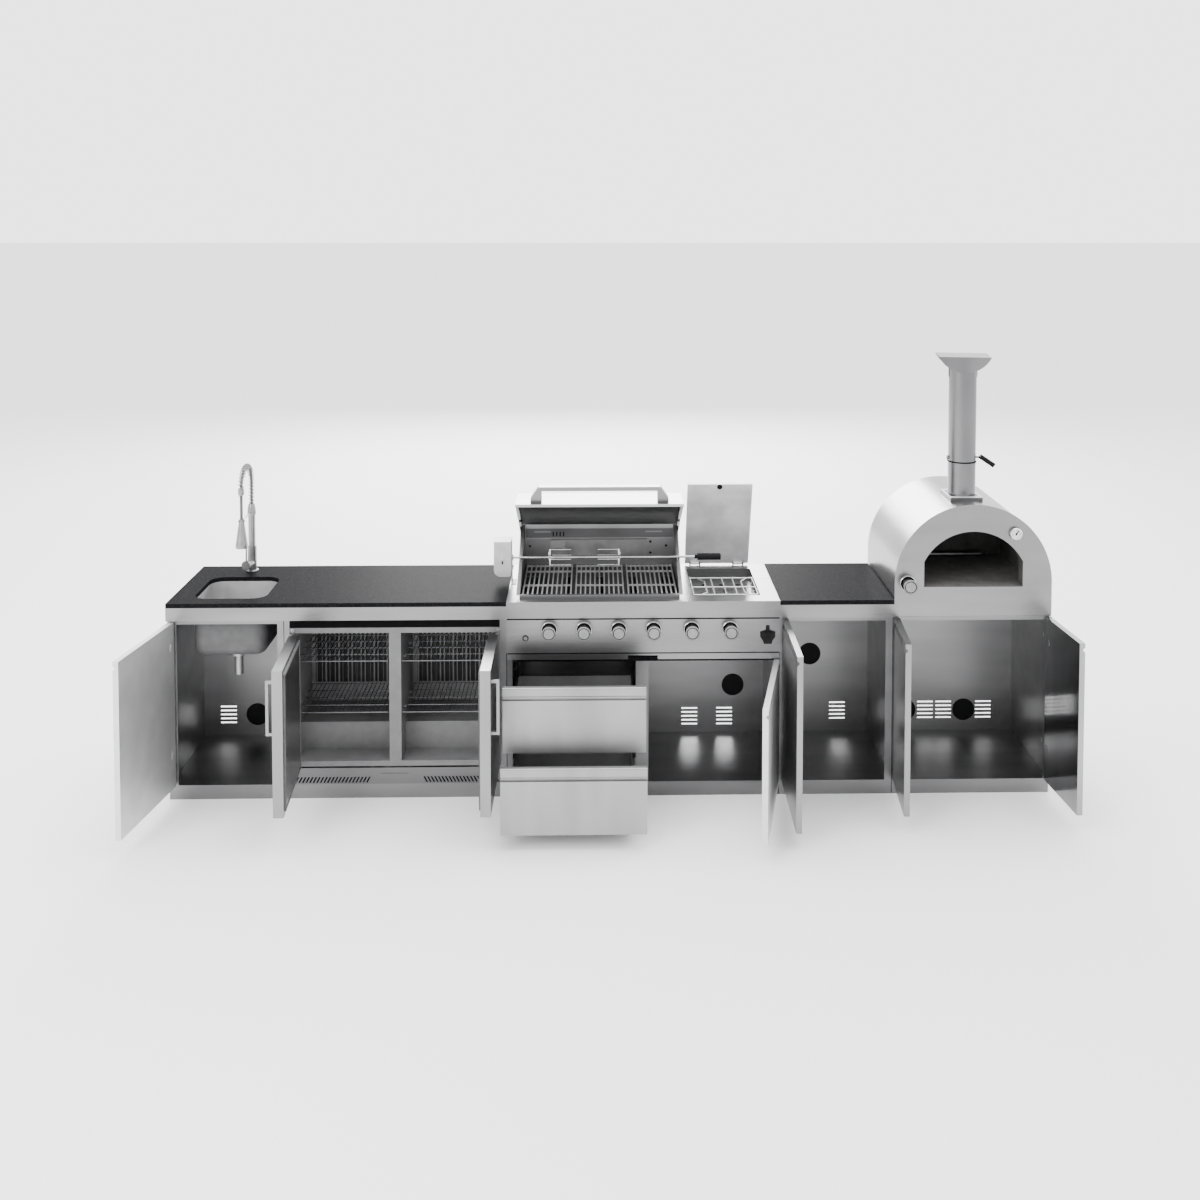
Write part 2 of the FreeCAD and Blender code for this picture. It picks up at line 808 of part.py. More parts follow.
def ring(x, z, y, length, radius, bore):
    tube = pipe((x, y, z), (x, y - length, z), radius, bore)
    edges = [e for e in tube.Edges if abs(e.BoundBox.YMin - (y - length)) < 1e-3 and e.BoundBox.XLength > 1.8 * radius]
    return tube.makeChamfer(2.0, edges)


def knob(x, z, y):
    """A turning knob: a slim neck and a wide grooved front, bored for its stem."""
    front = y - knob_out
    neck = rod((x, y - bezel_l - 1, z), (x, front + 9, z), knob_neck_r)
    head = rod((x, front + 9, z), (x, front, z), knob_r)
    rim = [e for e in head.Edges if abs(e.BoundBox.YMin - front) < 1e-3 and e.BoundBox.XLength > 1.8 * knob_r]
    head = head.makeChamfer(2.0, rim)
    groove = pipe((x, front - 1, z), (x, front + 2, z), 27, 23)
    bore = rod((x, y, z), (x, front + 12, z), stem_r + 0.06)
    hollow = pipe((x, y, z), (x, front + 12, z), knob_neck_r - 3, 9)
    return neck.fuse(head).cut([groove, bore, hollow])


def valve_and_stem(x, z, y, back):
    body = box((x - 14, x + 14), (y + 6, back), (z - 14, z + 14))
    stem = rod((x, y + 6, z), (x, y - bezel_l - 34, z), stem_r)
    nut = rod((x, y + 6, z), (x, y + 1, z), 8)
    return [body, stem, nut]


def igniter():
    x, z = igniter_at
    button = rod((x, panel_y - 8, z), (x, panel_y + 12, z), 8)
    collar = rod((x, panel_y + 5, z), (x, panel_y + 7, z), 10)
    return button.fuse(collar).removeSplitter()


def igniter_body():
    x, z = igniter_at
    return pipe((x, panel_y + sheet, z), (x, panel_y + 30, z), 13, 10.5).fuse(
        rod((x, panel_y + 28, z), (x, panel_y + 34, z), 13))


def opener():
    """A wall opener: a narrow head, broad shoulders, a round foot, and a lip over its mouth."""
    mid = grill_x + 1187
    half_line = [(8, 797), (9, 776), (35, 768), (34, 744), (22, 728), (18, 712)]
    line = half_line + [(-x, z) for x, z in half_line[::-1]]
    plate = prism([(mid + x, panel_y - 4, z) for x, z in line], (0, 1, 0), 4)
    mouth = rod((mid, panel_y - 5, 744), (mid, panel_y - 2, 744), 11)
    hook = box((mid - 15, mid + 15), (panel_y - 16, panel_y - 4), (760, 766))
    return plate.cut(mouth).fuse(hook).removeSplitter()


keep("control_panel", control_panel())
keep("igniter_button", [igniter()])
keep("bottle_opener", [opener()])
for index, kx in enumerate(knob_xs):
    keep("burner_knob_" + str(index + 1), [knob(kx, knob_z, panel_y)])
    keep("knob_bezels", [ring(kx, knob_z, panel_y, bezel_l, bezel_r, 9)])


def gas_manifold():
    parts = [rod((grill_x + 150, 8, knob_z), (grill_x + 1080, 8, knob_z), 12)]
    for kx in knob_xs:
        parts.extend(valve_and_stem(kx, knob_z, panel_y, 4))
    for end in (grill_x + 150, grill_x + 1060):
        parts.append(box((end, end + 20), (panel_y + sheet, 4), (knob_z - 6, knob_z + 6)))
    return fuse(parts)


keep("gas_manifold", [gas_manifold(), igniter_body()])


# Grill deck with the side burner's recess

recess_x = (grill_x + side_x, grill_x + side_x + side_w)
recess_y = (side_y, side_y + side_d)
recess_low = deck_z - side_deep
fire_x = (grill_x + firebox_x, grill_x + firebox_x + firebox_w)


def grill_deck():
    x = (grill_x, grill_x + grill_w)
    top = (deck_z - sheet, deck_z)
    y = (panel_y, back_y)
    strips = [
        box(x, (y[0], firebox_front), top),
        box((x[0], fire_x[0]), (firebox_front, firebox_back), top),
        box((fire_x[1], recess_x[0]), (firebox_front, firebox_back), top),
        box((recess_x[1], x[1]), (firebox_front, firebox_back), top),
        box(recess_x, (firebox_front, recess_y[0]), top),
        box(recess_x, (recess_y[1], firebox_back), top),
        box(x, (firebox_back, y[1]), top),
        box(x, (y[0], y[0] + sheet), (carcass_h, deck_z - sheet)),
        box(x, (y[1] - sheet, y[1]), (carcass_h, deck_z - sheet)),
        box((x[0], x[0] + sheet), (y[0] + sheet, y[1] - sheet), (carcass_h, deck_z - sheet)),
        box((x[1] - sheet, x[1]), (y[0] + sheet, y[1] - sheet), (carcass_h, deck_z - sheet)),
    ]
    wall_z = (recess_low, deck_z - sheet)
    inner_y = (recess_y[0] - sheet, recess_y[1] + sheet)
    walls = [
        box((recess_x[0] - sheet, recess_x[0]), inner_y, wall_z),
        box((recess_x[1], recess_x[1] + sheet), inner_y, wall_z),
        box(recess_x, (recess_y[0] - sheet, recess_y[0]), wall_z),
        box(recess_x, (recess_y[1], recess_y[1] + sheet), wall_z),
    ]
    floor = box((recess_x[0] - sheet, recess_x[1] + sheet), inner_y, (recess_low - sheet, recess_low))
    cx = knob_xs[5] - 5
    holes = [rod((cx, side_burner_y, recess_low - 3), (cx, side_burner_y, recess_low + 1), 30)]
    for dx in (-83, 0, 80):
        holes.append(rod((cx + dx, 360, recess_low - 3), (cx + dx, 360, recess_low + 1), 9))
    return strips + walls + [floor.cut(holes)]


side_burner_y = 175.0
keep("grill_deck", grill_deck())


# Firebox, burners and grates

def wall_top(y):
    return rim_z + (y - 45) * (1117.0 - rim_z) / 500.0


def firebox():
    x = fire_x
    y = (firebox_front, firebox_back)
    inner = (x[0] + sheet, x[1] - sheet)
    side = [(x[0], y[0], 760), (x[0], y[1], 760), (x[0], y[1], 1117), (x[0], 45, rim_z - sheet),
            (x[0], y[0], rim_z - sheet)]
    left = prism(side, (1, 0, 0), sheet)
    right = moved([left], x=firebox_w - sheet)[0]
    pins = []
    for at, run in ((x[0], -1), (x[1], 1)):
        pins.append(rod((at, hood_pivot[0], hood_pivot[1]), (at + run * 26, hood_pivot[0], hood_pivot[1]), hood_pin_r))
    flange = [(y[0] + 15, rim_z), (545, 1117), (545, 1117 + sheet), (y[0] + 15, rim_z + sheet)]
    flanges = []
    for at in (x[0] - firebox_flange + sheet, x[1] - sheet):
        points = [(at, fy, fz) for fy, fz in flange]
        flanges.append(prism(points, (1, 0, 0), firebox_flange))
        flanges.append(box((at, at + firebox_flange), (y[0], y[0] + 15), (rim_z - sheet, rim_z)))
    front = box(inner, (y[0], y[0] + sheet), (760, rim_z - sheet))
    holes = [rod((kx, y[0] - 1, burner_z), (kx, y[0] + 3, burner_z), burner_r + 1) for kx in knob_xs[:4]]
    rim = box((x[0] + sheet, x[1] - sheet), (y[0], y[0] + rim_w), (rim_z - sheet, rim_z))
    back = box(inner, (y[1] - sheet, y[1]), (760, back_wall_z))
    back_rim = box((x[0] - firebox_flange + sheet, x[1] + firebox_flange - sheet), (y[1], y[1] + 2),
                   (1100, back_wall_z))
    ledges = [box(inner, (y[0] + sheet, y[0] + 12), (grate_z - 10, grate_z - 8)),
              box(inner, (y[1] - 12, y[1] - sheet), (grate_z - 10, grate_z - 8)),
              box(inner, (y[0] + sheet, y[0] + 14), (tamer_z - 2, tamer_z)),
              box(inner, (y[1] - 14, y[1] - sheet), (tamer_z - 2, tamer_z))]
    mid = (x[0] + x[1]) / 2
    floors = []
    for outer, inner_x in ((x[0], mid - 90), (x[1], mid + 90)):
        points = [(outer, y[0], 760), (inner_x, y[0], 700), (inner_x, y[0], 698), (outer, y[0], 758)]
        floors.append(prism(points, (0, 1, 0), y[1] - y[0]))
    cradles = []
    low = spit_z - spit_r - 0.06
    for at in (x[0] - firebox_flange + sheet + 2, x[1] - sheet + 4):
        for cy, cz in ((spit_y - 14, spit_y - spit_r - 0.06), (spit_y + spit_r + 0.06, spit_y + 14)):
            cradles.append(prism([(at, cy, wall_top(cy) + sheet), (at, cz, wall_top(cz) + sheet),
                                  (at, cz, spit_z + 4), (at, cy, spit_z + 4)], (1, 0, 0), 4))
    return ([left.fuse(pins[0]), right.fuse(pins[1]), front.cut(holes), rim, back, back_rim]
            + flanges + ledges + floors + cradles)


burner_z = 815.0
burner_r = 17.0
tamer_z = 862.0
keep("firebox", firebox())


def grate(x0):
    """One cast grate: rods along Y joined by two cross bars and a bar at each end."""
    first = x0 + 8
    rods = []
    for k in range(grate_rods):
        x = first + k * grate_pitch
        rods.append(box((x - grate_rod, x + grate_rod), (37, 538), (grate_z - 8, grate_z)))
    last = first + (grate_rods - 1) * grate_pitch
    bars = []
    for y in (44, 209, 436, 531):
        bars.append(box((first - grate_rod, last + grate_rod), (y - 4, y + 4), (grate_z - 8, grate_z - 1)))
    return fuse(rods + bars)


grate_w = (grate_rods - 1) * grate_pitch + 2 * grate_rod
grate_step = (firebox_w - 2 * sheet) / grate_count
for k in range(grate_count):
    left = fire_x[0] + sheet + grate_step * (k + 0.5) - (grate_rods - 1) * grate_pitch / 2 - 8
    keep("cooking_grates", [grate(left)])


def tamer(x):
    """A folded flame tamer, an upside-down V with flat feet on the ledges."""
    points = [(x - 62, 34, tamer_z), (x, 34, tamer_z + 30), (x + 62, 34, tamer_z), (x + 60, 34, tamer_z),
              (x, 34, tamer_z + 28.4), (x - 60, 34, tamer_z)]
    return prism(points, (0, 1, 0), 507)


def burner_tube(x):
    tube = rod((x, 2, burner_z), (x, 500, burner_z), burner_r)
    bore = rod((x, 1, burner_z), (x, 498, burner_z), burner_r - 1.5)
    foot = box((x - 8, x + 8), (500, firebox_back - sheet), (burner_z - 6, burner_z + 6))
    return tube.cut(bore).fuse(foot)


for kx in knob_xs[:4]:
    keep("flame_tamers", [tamer(kx)])
    keep("burners", [burner_tube(kx)])


def infrared_burner():
    x = (grill_x + 188, grill_x + 660)
    y1 = firebox_back - sheet
    frame = box(x, (y1 - 14, y1), (958, 1048))
    hollow = box((x[0] + 10, x[1] - 10), (y1 - 15, y1 - 11), (968, 1038))
    return frame.cut(hollow)


def side_burner():
    x, y = knob_xs[5] - 5, side_burner_y
    stem = rod((x, y, recess_low - 60), (x, y, recess_low + 8), 20)
    base = rod((x, y, recess_low), (x, y, recess_low + 5), 52)
    ring_ = rod((x, y, recess_low + 5), (x, y, recess_low + 17), 38)
    cap = rod((x, y, recess_low + 17), (x, y, recess_low + 23), 46)
    feed = rod((x, y + 19, recess_low - 50), (x, 20, recess_low - 50), 7)
    return fuse([stem, base, ring_, cap, feed])


def pan_support():
    z = deck_z - 6
    x0, x1 = recess_x[0] + 4, recess_x[1] - 4
    cx = knob_xs[5] - 5
    r = 3.0
    bars = []
    for y in (92, 211, 357):
        bars.append(rod((x0, y, z), (x1, y, z), r))
    for x in (x0 + 3, cx - 54, cx, cx + 50, x1 - 3):
        bars.append(rod((x, 89, z), (x, 360, z), r))
    for side in (-1, 1):
        bend = [(cx + side * 122, 357, z), (cx + side * 87, 300, z), (cx + side * 87, 128, z),
                (cx + side * 117, 92, z)]
        for start, end in zip(bend, bend[1:]):
            bars.append(rod(start, end, r - 0.1))
        for knee in bend[1:3]:
            bars.append(Part.makeSphere(r - 0.1, V(*knee)))
    for x in (x0 + 3, x1 - 3):
        for y in (92, 357):
            bars.append(rod((x, y, recess_low), (x, y, z), r))
    return fuse(bars)


keep("burners", [infrared_burner(), side_burner()])
keep("cooking_grates", [pan_support()])


# Hood

def hood_profile(grow=0.0):
    """The closed hood's outer line in YZ, from the lip over the bend to the back's lower edge."""
    angle = math.radians(hood_panel_angle)
    along = V(0, math.cos(angle), math.sin(angle))
    inward = V(0, math.sin(angle), -math.cos(angle))
    lip = V(0, hood_lip[0], hood_lip[1]) + inward * grow
    knee = V(0, hood_lip[0], hood_lip[1]) + along * hood_panel + inward * grow
    centre = V(0, hood_lip[0], hood_lip[1]) + along * hood_panel + inward * hood_bend_r
    radius = hood_bend_r - grow
    corner = V(0, hood_back[0] - grow, hood_back[1])
    reach = corner - centre
    lean = math.atan2(reach.z, reach.y) + math.acos(radius / math.hypot(reach.y, reach.z))
    leave = centre + V(0, math.cos(lean), math.sin(lean)) * radius
    start = math.pi / 2 + angle
    middle_angle = (start + lean) / 2
    middle = centre + V(0, math.cos(middle_angle), math.sin(middle_angle)) * radius
    low = V(0, hood_back[0] - grow, hood_back_low)
    return lip, knee, middle, leave, corner, low


def hood_skin():
    outer = hood_profile(0.0)
    inner = hood_profile(hood_sheet)
    edges = [
        Part.makeLine(outer[0], outer[1]),
        Part.Arc(outer[1], outer[2], outer[3]).toShape(),
        Part.makeLine(outer[3], outer[4]),
        Part.makeLine(outer[4], outer[5]),
        Part.makeLine(outer[5], inner[5]),
        Part.makeLine(inner[5], inner[4]),
        Part.makeLine(inner[4], inner[3]),
        Part.Arc(inner[3], inner[2], inner[1]).toShape(),
        Part.makeLine(inner[1], inner[0]),
        Part.makeLine(inner[0], outer[0]),
    ]
    face = Part.Face(Part.Wire(edges))
    skin = face.extrude(V(hood_w - 2 * hood_end, 0, 0))
    skin.translate(V(grill_x + hood_x + hood_end, 0, 0))
    return skin


def hood_outline_z(y):
    """Height of the hood's outer line at a given y."""
    lip, knee, middle, leave, corner, low = hood_profile(0.0)
    if y <= knee.y:
        return lip.z + (y - lip.y) * math.tan(math.radians(hood_panel_angle))
    angle = math.radians(hood_panel_angle)
    centre_y = knee.y + math.sin(angle) * hood_bend_r
    centre_z = knee.z - math.cos(angle) * hood_bend_r
    if y <= leave.y:
        return centre_z + math.sqrt(hood_bend_r ** 2 - (y - centre_y) ** 2)
    return leave.z + (y - leave.y) * (corner.z - leave.z) / (corner.y - leave.y)


def cap_piece(x, y0, y1, low):
    """A convex slice of the hood's end cap between two heights of its outline."""
    steps = 8
    tops = []
    for k in range(steps + 1):
        y = y0 + (y1 - y0) * k / steps
        tops.append((x, y, hood_outline_z(y)))
    points = [(x, y0, low(y0)), (x, y1, low(y1))] + tops[::-1]
    clean = []
    for point in points:
        if not clean or (V(*point) - V(*clean[-1])).Length > 0.01:
            clean.append(point)
    if (V(*clean[0]) - V(*clean[-1])).Length < 0.01:
        clean.pop()
    return prism(clean, (1, 0, 0), hood_end)


def hood_caps():
    pieces = []
    clear = 3.0

    def under(y):
        return wall_top(max(y, 45)) + sheet + clear

    def over_spit(y):
        return spit_z + 26

    for x, arm_x in ((grill_x + hood_x, grill_x + hood_x), (grill_x + hood_x + hood_w - hood_end,
                     grill_x + hood_x + hood_w - 4)):
        pieces.append(cap_piece(x, hood_lip[0] + 5, spit_y - 22, under))
        pieces.append(cap_piece(x, spit_y - 22, spit_y + 22, over_spit))
        pieces.append(cap_piece(x, spit_y + 22, hood_back[0], under))
        inner_x = x + hood_end if x == arm_x else x + hood_end - hood_flange
        for y0, y1, low in ((45, spit_y - 22, under), (spit_y - 22, spit_y + 22, over_spit),
                            (spit_y + 22, spit_y + 95, under)):
            strip = [(inner_x, y0, low(y0)), (inner_x, y1, low(y1)), (inner_x, y1, low(y1) + 2), (inner_x, y0, low(y0) + 2)]
            pieces.append(prism(strip, (1, 0, 0), hood_flange - hood_end))
        py, pz = hood_pivot
        arm = prism([(arm_x, py - 20, pz - 12), (arm_x, py - 8, pz - 20), (arm_x, py + 8, pz - 20),
                     (arm_x, py + 20, pz - 12), (arm_x, py + 20, under(py + 20)), (arm_x, py - 20, under(py - 20))],
                    (1, 0, 0), 4)
        eye = rod((arm_x - 1, py, pz), (arm_x + 5, py, pz), hood_pin_r + 0.06)
        pieces.append(arm.cut(eye))
    return pieces


def hood_handle():
    """A bent strap handle standing on the hood's front panel, a little above its lip."""
    half = handle_w / 2
    top_half = half - 38
    mid = grill_x + hood_x + hood_w / 2
    inner = half - handle_leg
    points = [(-half, 0), (-half, 20), (-top_half, handle_h), (top_half, handle_h), (half, 20), (half, 0),
              (inner, 0), (inner, handle_h - handle_bar), (-inner, handle_h - handle_bar), (-inner, 0)]
    angle = math.radians(hood_panel_angle)
    along = V(0, math.cos(angle), math.sin(angle))
    out = V(0, -math.sin(angle), math.cos(angle))
    foot = V(mid, hood_lip[0], hood_lip[1]) + along * 38
    corners = [foot + V(px, 0, 0) + out * height for px, height in points]
    face = Part.Face(Part.makePolygon(corners + corners[:1]))
    strap = face.extrude(along * handle_depth)
    inside = []
    for px, height in ((-top_half + 12, handle_h - handle_bar + 2), (-top_half + 12, handle_h - 2),
                       (top_half - 12, handle_h - 2), (top_half - 12, handle_h - handle_bar + 2)):
        inside.append(foot + along * 2 + V(px, 0, 0) + out * height)
    void = Part.Face(Part.makePolygon(inside + inside[:1])).extrude(along * (handle_depth - 4))
    return strap.cut(void)


hood = [hood_skin(), hood_handle()] + hood_caps()
keep("hood", turned(hood, (0, hood_pivot[0], hood_pivot[1]), (1, 0, 0), -hood_open))


# Rotisserie

motor_x = (grill_x - 75, grill_x + 6)


def rotisserie_motor():
    y = (spit_y - 48, spit_y + 48)
    low = 948.0
    body = box(motor_x, y, (low, 1114))
    for corner, radius in ((motor_x[0], 32), (motor_x[1], 14)):
        edge = [e for e in body.Edges if e.BoundBox.YLength > 90 and abs(e.BoundBox.XMin - corner) < 1e-3
                and abs(e.BoundBox.ZMin - low) < 1e-3 and e.BoundBox.ZLength < 1e-3]
        body = body.makeFillet(radius, edge)
    socket = rod((motor_x[1] - 26, spit_y, spit_z), (motor_x[1] + 1, spit_y, spit_z), spit_r + 0.06)
    boss = rod((motor_x[1], spit_y, spit_z), (motor_x[1] + 7, spit_y, spit_z), 15)
    boss = boss.cut(rod((motor_x[1] - 1, spit_y, spit_z), (motor_x[1] + 8, spit_y, spit_z), spit_r + 0.06))
    plate = box((motor_x[1], motor_x[1] + 3), (spit_y - 40, spit_y + 40), (deck_z, 1000))
    foot = box((motor_x[1] + 3, motor_x[1] + 22), (spit_y - 40, spit_y + 40), (deck_z, deck_z + 3))
    return [body.cut(socket).fuse(boss), plate, foot]


def spit_fork(x, points_right):
    """A sliding fork: a hub with a clamp screw and four prongs on two cross bars."""
    sign = 1 if points_right else -1
    hub = pipe((x - 9, spit_y, spit_z), (x + 9, spit_y, spit_z), 11, spit_r)
    screw = rod((x - sign * 6, spit_y, spit_z + 8), (x - sign * 6, spit_y, spit_z + 26), 3)
    upright = box((x - 3, x + 3), (spit_y - 4, spit_y + 4), (spit_z - 40, spit_z + 40))
    level = box((x - 3, x + 3), (spit_y - 40, spit_y + 40), (spit_z - 4, spit_z + 4))
    cross = upright.fuse(level).cut(rod((x - 9, spit_y, spit_z), (x + 9, spit_y, spit_z), spit_r))
    prongs = []
    for dy, dz in ((0, -37), (0, 37), (-37, 0), (37, 0)):
        start = (x, spit_y + dy, spit_z + dz)
        prongs.append(rod(start, (x + sign * 100, start[1], start[2]), 3))
    return fuse([hub, screw, cross] + prongs)


spit_x = (motor_x[1] - 24, grill_x + 884)
keep("rotisserie_motor", rotisserie_motor())
spit_bar = rod((spit_x[0], spit_y, spit_z), (spit_x[1] + 30, spit_y, spit_z), spit_r)
keep("rotisserie_spit", [fuse([spit_bar, spit_fork(grill_x + 188, True), spit_fork(grill_x + 515, False)])])


def spit_handle():
    x0, x1 = spit_x[1], grill_x + 1001
    grip = rod((x0 + 6, spit_y, spit_z), (x1, spit_y, spit_z), 15.5)
    ferrule = rod((x0 - 8, spit_y, spit_z), (x0 + 6, spit_y, spit_z), 9)
    handle = grip.fuse(ferrule)
    ends = [e for e in handle.Edges if abs(e.BoundBox.XMin - x1) < 1e-3 and e.BoundBox.ZLength > 30]
    handle = handle.makeFillet(4, ends)
    return handle.cut(rod((x0 - 9, spit_y, spit_z), (x0 + 30, spit_y, spit_z), spit_r))


keep("spit_handle", [spit_handle()])


# Side burner's lid

lid_pin = (lid_back, deck_z + 9)


def side_lid():
    x = (grill_x + lid_x, grill_x + lid_x + lid_w)
    z = (deck_z + 3, deck_z + 3 + lid_t)
    top = box(x, (lid_front, lid_back + 6), (z[1] - sheet, z[1]))
    front = box(x, (lid_front, lid_front + sheet), (z[0], z[1] - sheet))
    ends = []
    for left in (x[0], x[1] - sheet):
        ends.append(box((left, left + sheet), (lid_front + sheet, lid_back - 12), (z[0], z[1] - sheet)))
    knuckles = []
    for left in (x[0] + 30, x[1] - 70):
        barrel = rod((left, lid_pin[0], lid_pin[1]), (left + 40, lid_pin[0], lid_pin[1]), 6)
        neck = box((left, left + 40), (lid_pin[0] - 2, lid_pin[0] + 2), (lid_pin[1], z[1] - sheet))
        eye = rod((left - 1, lid_pin[0], lid_pin[1]), (left + 41, lid_pin[0], lid_pin[1]), 3.06)
        knuckles.append(barrel.fuse(neck).cut(eye))
    bumper = rod((x[0] + 155, lid_front + 14, z[0] + 2), (x[0] + 155, lid_front + 14, z[1] - sheet), 10)
    return [top, front, bumper] + ends + knuckles


def lid_hinge_pins():
    x = (grill_x + lid_x, grill_x + lid_x + lid_w)
    pieces = []
    for left in (x[0] + 30, x[1] - 70):
        pin = rod((left - 8, lid_pin[0], lid_pin[1]), (left + 48, lid_pin[0], lid_pin[1]), 3)
        for at in (left - 8, left + 41):
            pieces.append(box((at, at + 7), (lid_pin[0] - 6, lid_pin[0] + 6), (deck_z, lid_pin[1] + 6)).cut(pin))
        pieces.append(pin)
    return pieces


keep("side_burner_lid", turned(side_lid(), (0, lid_pin[0], lid_pin[1]), (1, 0, 0), -lid_open))
keep("grill_deck", lid_hinge_pins())


# Fridge

def fridge_case():
    x = (fridge_x + 26, fridge_x + 976)
    z = (fridge_low, fridge_high - 2)
    back = (400, 440)
    left = (x[0], fridge_x + fridge_side)
    right = (fridge_x + 961, x[1])
    mullion = (fridge_x + 474, fridge_x + 474 + mullion_w)
    low, high = z[0] + fridge_lip, z[1] - fridge_lip
    pieces = [
        box(left, (0, back[0]), (low, high)),
        box(right, (0, back[0]), (low, high)),
        box(mullion, (0, back[0]), (low, high)),
        box(x, (0, back[0]), (high, z[1])),
        box(x, (0, step_y + step_t), (z[0], low)),
        box(x, back, (step_z - step_t, z[1])),
    ]
    for left_rail in (x[0] + 4, x[1] - 34):
        pieces.append(box((left_rail, left_rail + 30), (60, step_y + step_t), (plinth_h, z[0])))
        pieces.append(box((left_rail, left_rail + 30), back, (plinth_h, step_z - step_t)))
    for bay in ((left[1], mullion[0]), (mullion[1], right[0])):
        pieces.append(box(bay, (step_y, step_y + step_t), (low, step_z - step_t)))
        pieces.append(box(bay, (step_y, back[0]), (step_z - step_t, step_z)))
        pieces.extend(evaporator_cover(bay, high))
    return pieces


def evaporator_cover(bay, high):
    y = (cover_y, 400)
    plate = box((bay[0] + 12, bay[1] - 12), y, (391, high - 10))
    ribs = []
    pitch = 21.0
    count = int((bay[1] - bay[0] - 40) / pitch)
    for k in range(count):
        x = bay[0] + 24 + k * pitch
        ribs.append(box((x, x + 8), (y[0] - 4, y[0]), (396, high - 15)))
    return [plate.fuse(ribs)]


def wire_shelf(bay, z):
    """A wire shelf: fine wires along Y on five cross rods."""
    x = (bay[0] + 6, bay[1] - 6)
    y0 = 4.0
    parts = []
    for k in range(5):
        y = y0 + shelf_rod + k * (shelf_depth - 2 * shelf_rod) / 4
        parts.append(rod((x[0], y, z), (x[1], y, z), shelf_rod))
    wires = int((x[1] - x[0] - 10) / shelf_pitch)
    lead = (x[1] - x[0] - wires * shelf_pitch) / 2
    for k in range(wires + 1):
        at = x[0] + lead + k * shelf_pitch
        parts.append(rod((at, y0, z + 2.5), (at, y0 + shelf_depth, z + 2.5), shelf_wire))
    return fuse(parts)


def shelf_clips(bay, z):
    """Shelf rests on both sides of a compartment."""
    pieces = []
    pitch = (shelf_depth - 2 * shelf_rod) / 4
    for y in (4 + shelf_rod + pitch, 4 + shelf_rod + 3 * pitch):
        pieces.append(box((bay[0], bay[0] + 12), (y - 6, y + 6), (z - 9, z - 3)))
        pieces.append(box((bay[1] - 12, bay[1]), (y - 6, y + 6), (z - 9, z - 3)))
    return pieces


fridge_bays = ((fridge_x + fridge_side, fridge_x + 474), (fridge_x + 474 + mullion_w, fridge_x + 961))
keep("fridge_case", fridge_case())
for bay in fridge_bays:
    for level in shelf_levels:
        keep("fridge_shelves", [wire_shelf(bay, level)])
        keep("fridge_case", shelf_clips(bay, level))


def kick_slots(x0, lean):
    cuts = []
    for k in range(21):
        x = x0 + k * 16.2
        cuts.append(prism([(x, -1, 71), (x + 8, -1, 71), (x + 8 + lean, -1, 98), (x + lean, -1, 98)], (0, 1, 0), 4))
    return cuts


def kick_grille():
    x = (fridge_x + 25, fridge_x + 977)
    plate = box(x, (0, sheet), (plinth_h, 140))
    plate = plate.cut(kick_slots(fridge_x + 41, 14) + kick_slots(fridge_x + 640, -14))
    strip = box((fridge_x + 433, fridge_x + 561), (-3, 0), (98, 114))
    fold = box(x, (sheet, 22), (140 - sheet, 140))
    return [plate, strip, fold]


def compressor():
    x, y, z = fridge_x + 260, 330.0, 158.0
    can = rod((x, y, plinth_h + 12), (x, y, z + 55), 62)
    base = box((x - 80, x + 80), (y - 60, y + 60), (plinth_h, plinth_h + 14))
    coil = box((fridge_x + 560, fridge_x + 820), (260, 300), (plinth_h, 230))
    fan = rod((fridge_x + 690, 300, 150), (fridge_x + 690, 330, 150), 60)
    line = rod((x + 55, y, z), (fridge_x + 562, 280, z), 5)
    can = can.makeFillet(12, [e for e in can.Edges if abs(e.BoundBox.ZMin - (z + 55)) < 1e-3 and e.BoundBox.XLength > 100])
    return [fuse([can, base, line, coil, fan])]


keep("fridge_kick_grille", kick_grille())
keep("fridge_compressor", compressor())

fridge_door_y = (-0.5 - gasket_t - fridge_door_t, -0.5 - gasket_t)


def fridge_leaf(x0, x1, hinge_left):
    z = (fridge_leaf_low, fridge_leaf_high)
    y = fridge_door_y
    px = x0 + pin_in if hinge_left else x1 - pin_in
    py = y[0] + pin_in
    body = box((x0, x1), y, z)
    cuts = []
    for low in (z[0] - 1, z[1] - 13):
        cuts.append(rod((px, py, low), (px, py, low + 14), pin_r + 0.06))
    hollow_x = (x0 + 14, x1 - skin_t) if hinge_left else (x0 + skin_t, x1 - 14)
    cuts.append(box(hollow_x, (y[0] + skin_t, y[1] - skin_t), (z[0] + 14, z[1] - 14)))
    body = body.cut(cuts)
    edge = x1 - pull_from_edge if hinge_left else x0 + pull_from_edge - pull_w
    mid = 598.0
    half = pull_l / 2
    out = y[0] - pull_out
    bar = [(edge, y[0], mid - half), (edge, out, mid - half), (edge, out, mid + half), (edge, y[0], mid + half),
           (edge, y[0], mid + half - 12), (edge, out + 12, mid + half - 12),
           (edge, out + 12, mid - half + 12), (edge, y[0], mid - half + 12)]
    handle = prism(bar, (1, 0, 0), pull_w)
    liner_z = (z[0] + 34, z[1] - 34)
    liner = box((x0 + 34, x1 - 34), (y[1], y[1] + 6), liner_z)
    return [body, handle, liner], (px, py)


def gasket(x0, x1):
    z = (fridge_leaf_low + gasket_in, fridge_leaf_high - gasket_in)
    x = (x0 + gasket_in, x1 - gasket_in)
    y = (fridge_door_y[1], fridge_door_y[1] + gasket_t)
    w = gasket_w
    return [box((x[0], x[0] + w), y, z), box((x[1] - w, x[1]), y, z),
            box((x[0] + w, x[1] - w), y, (z[0], z[0] + w)), box((x[0] + w, x[1] - w), y, (z[1] - w, z[1]))]


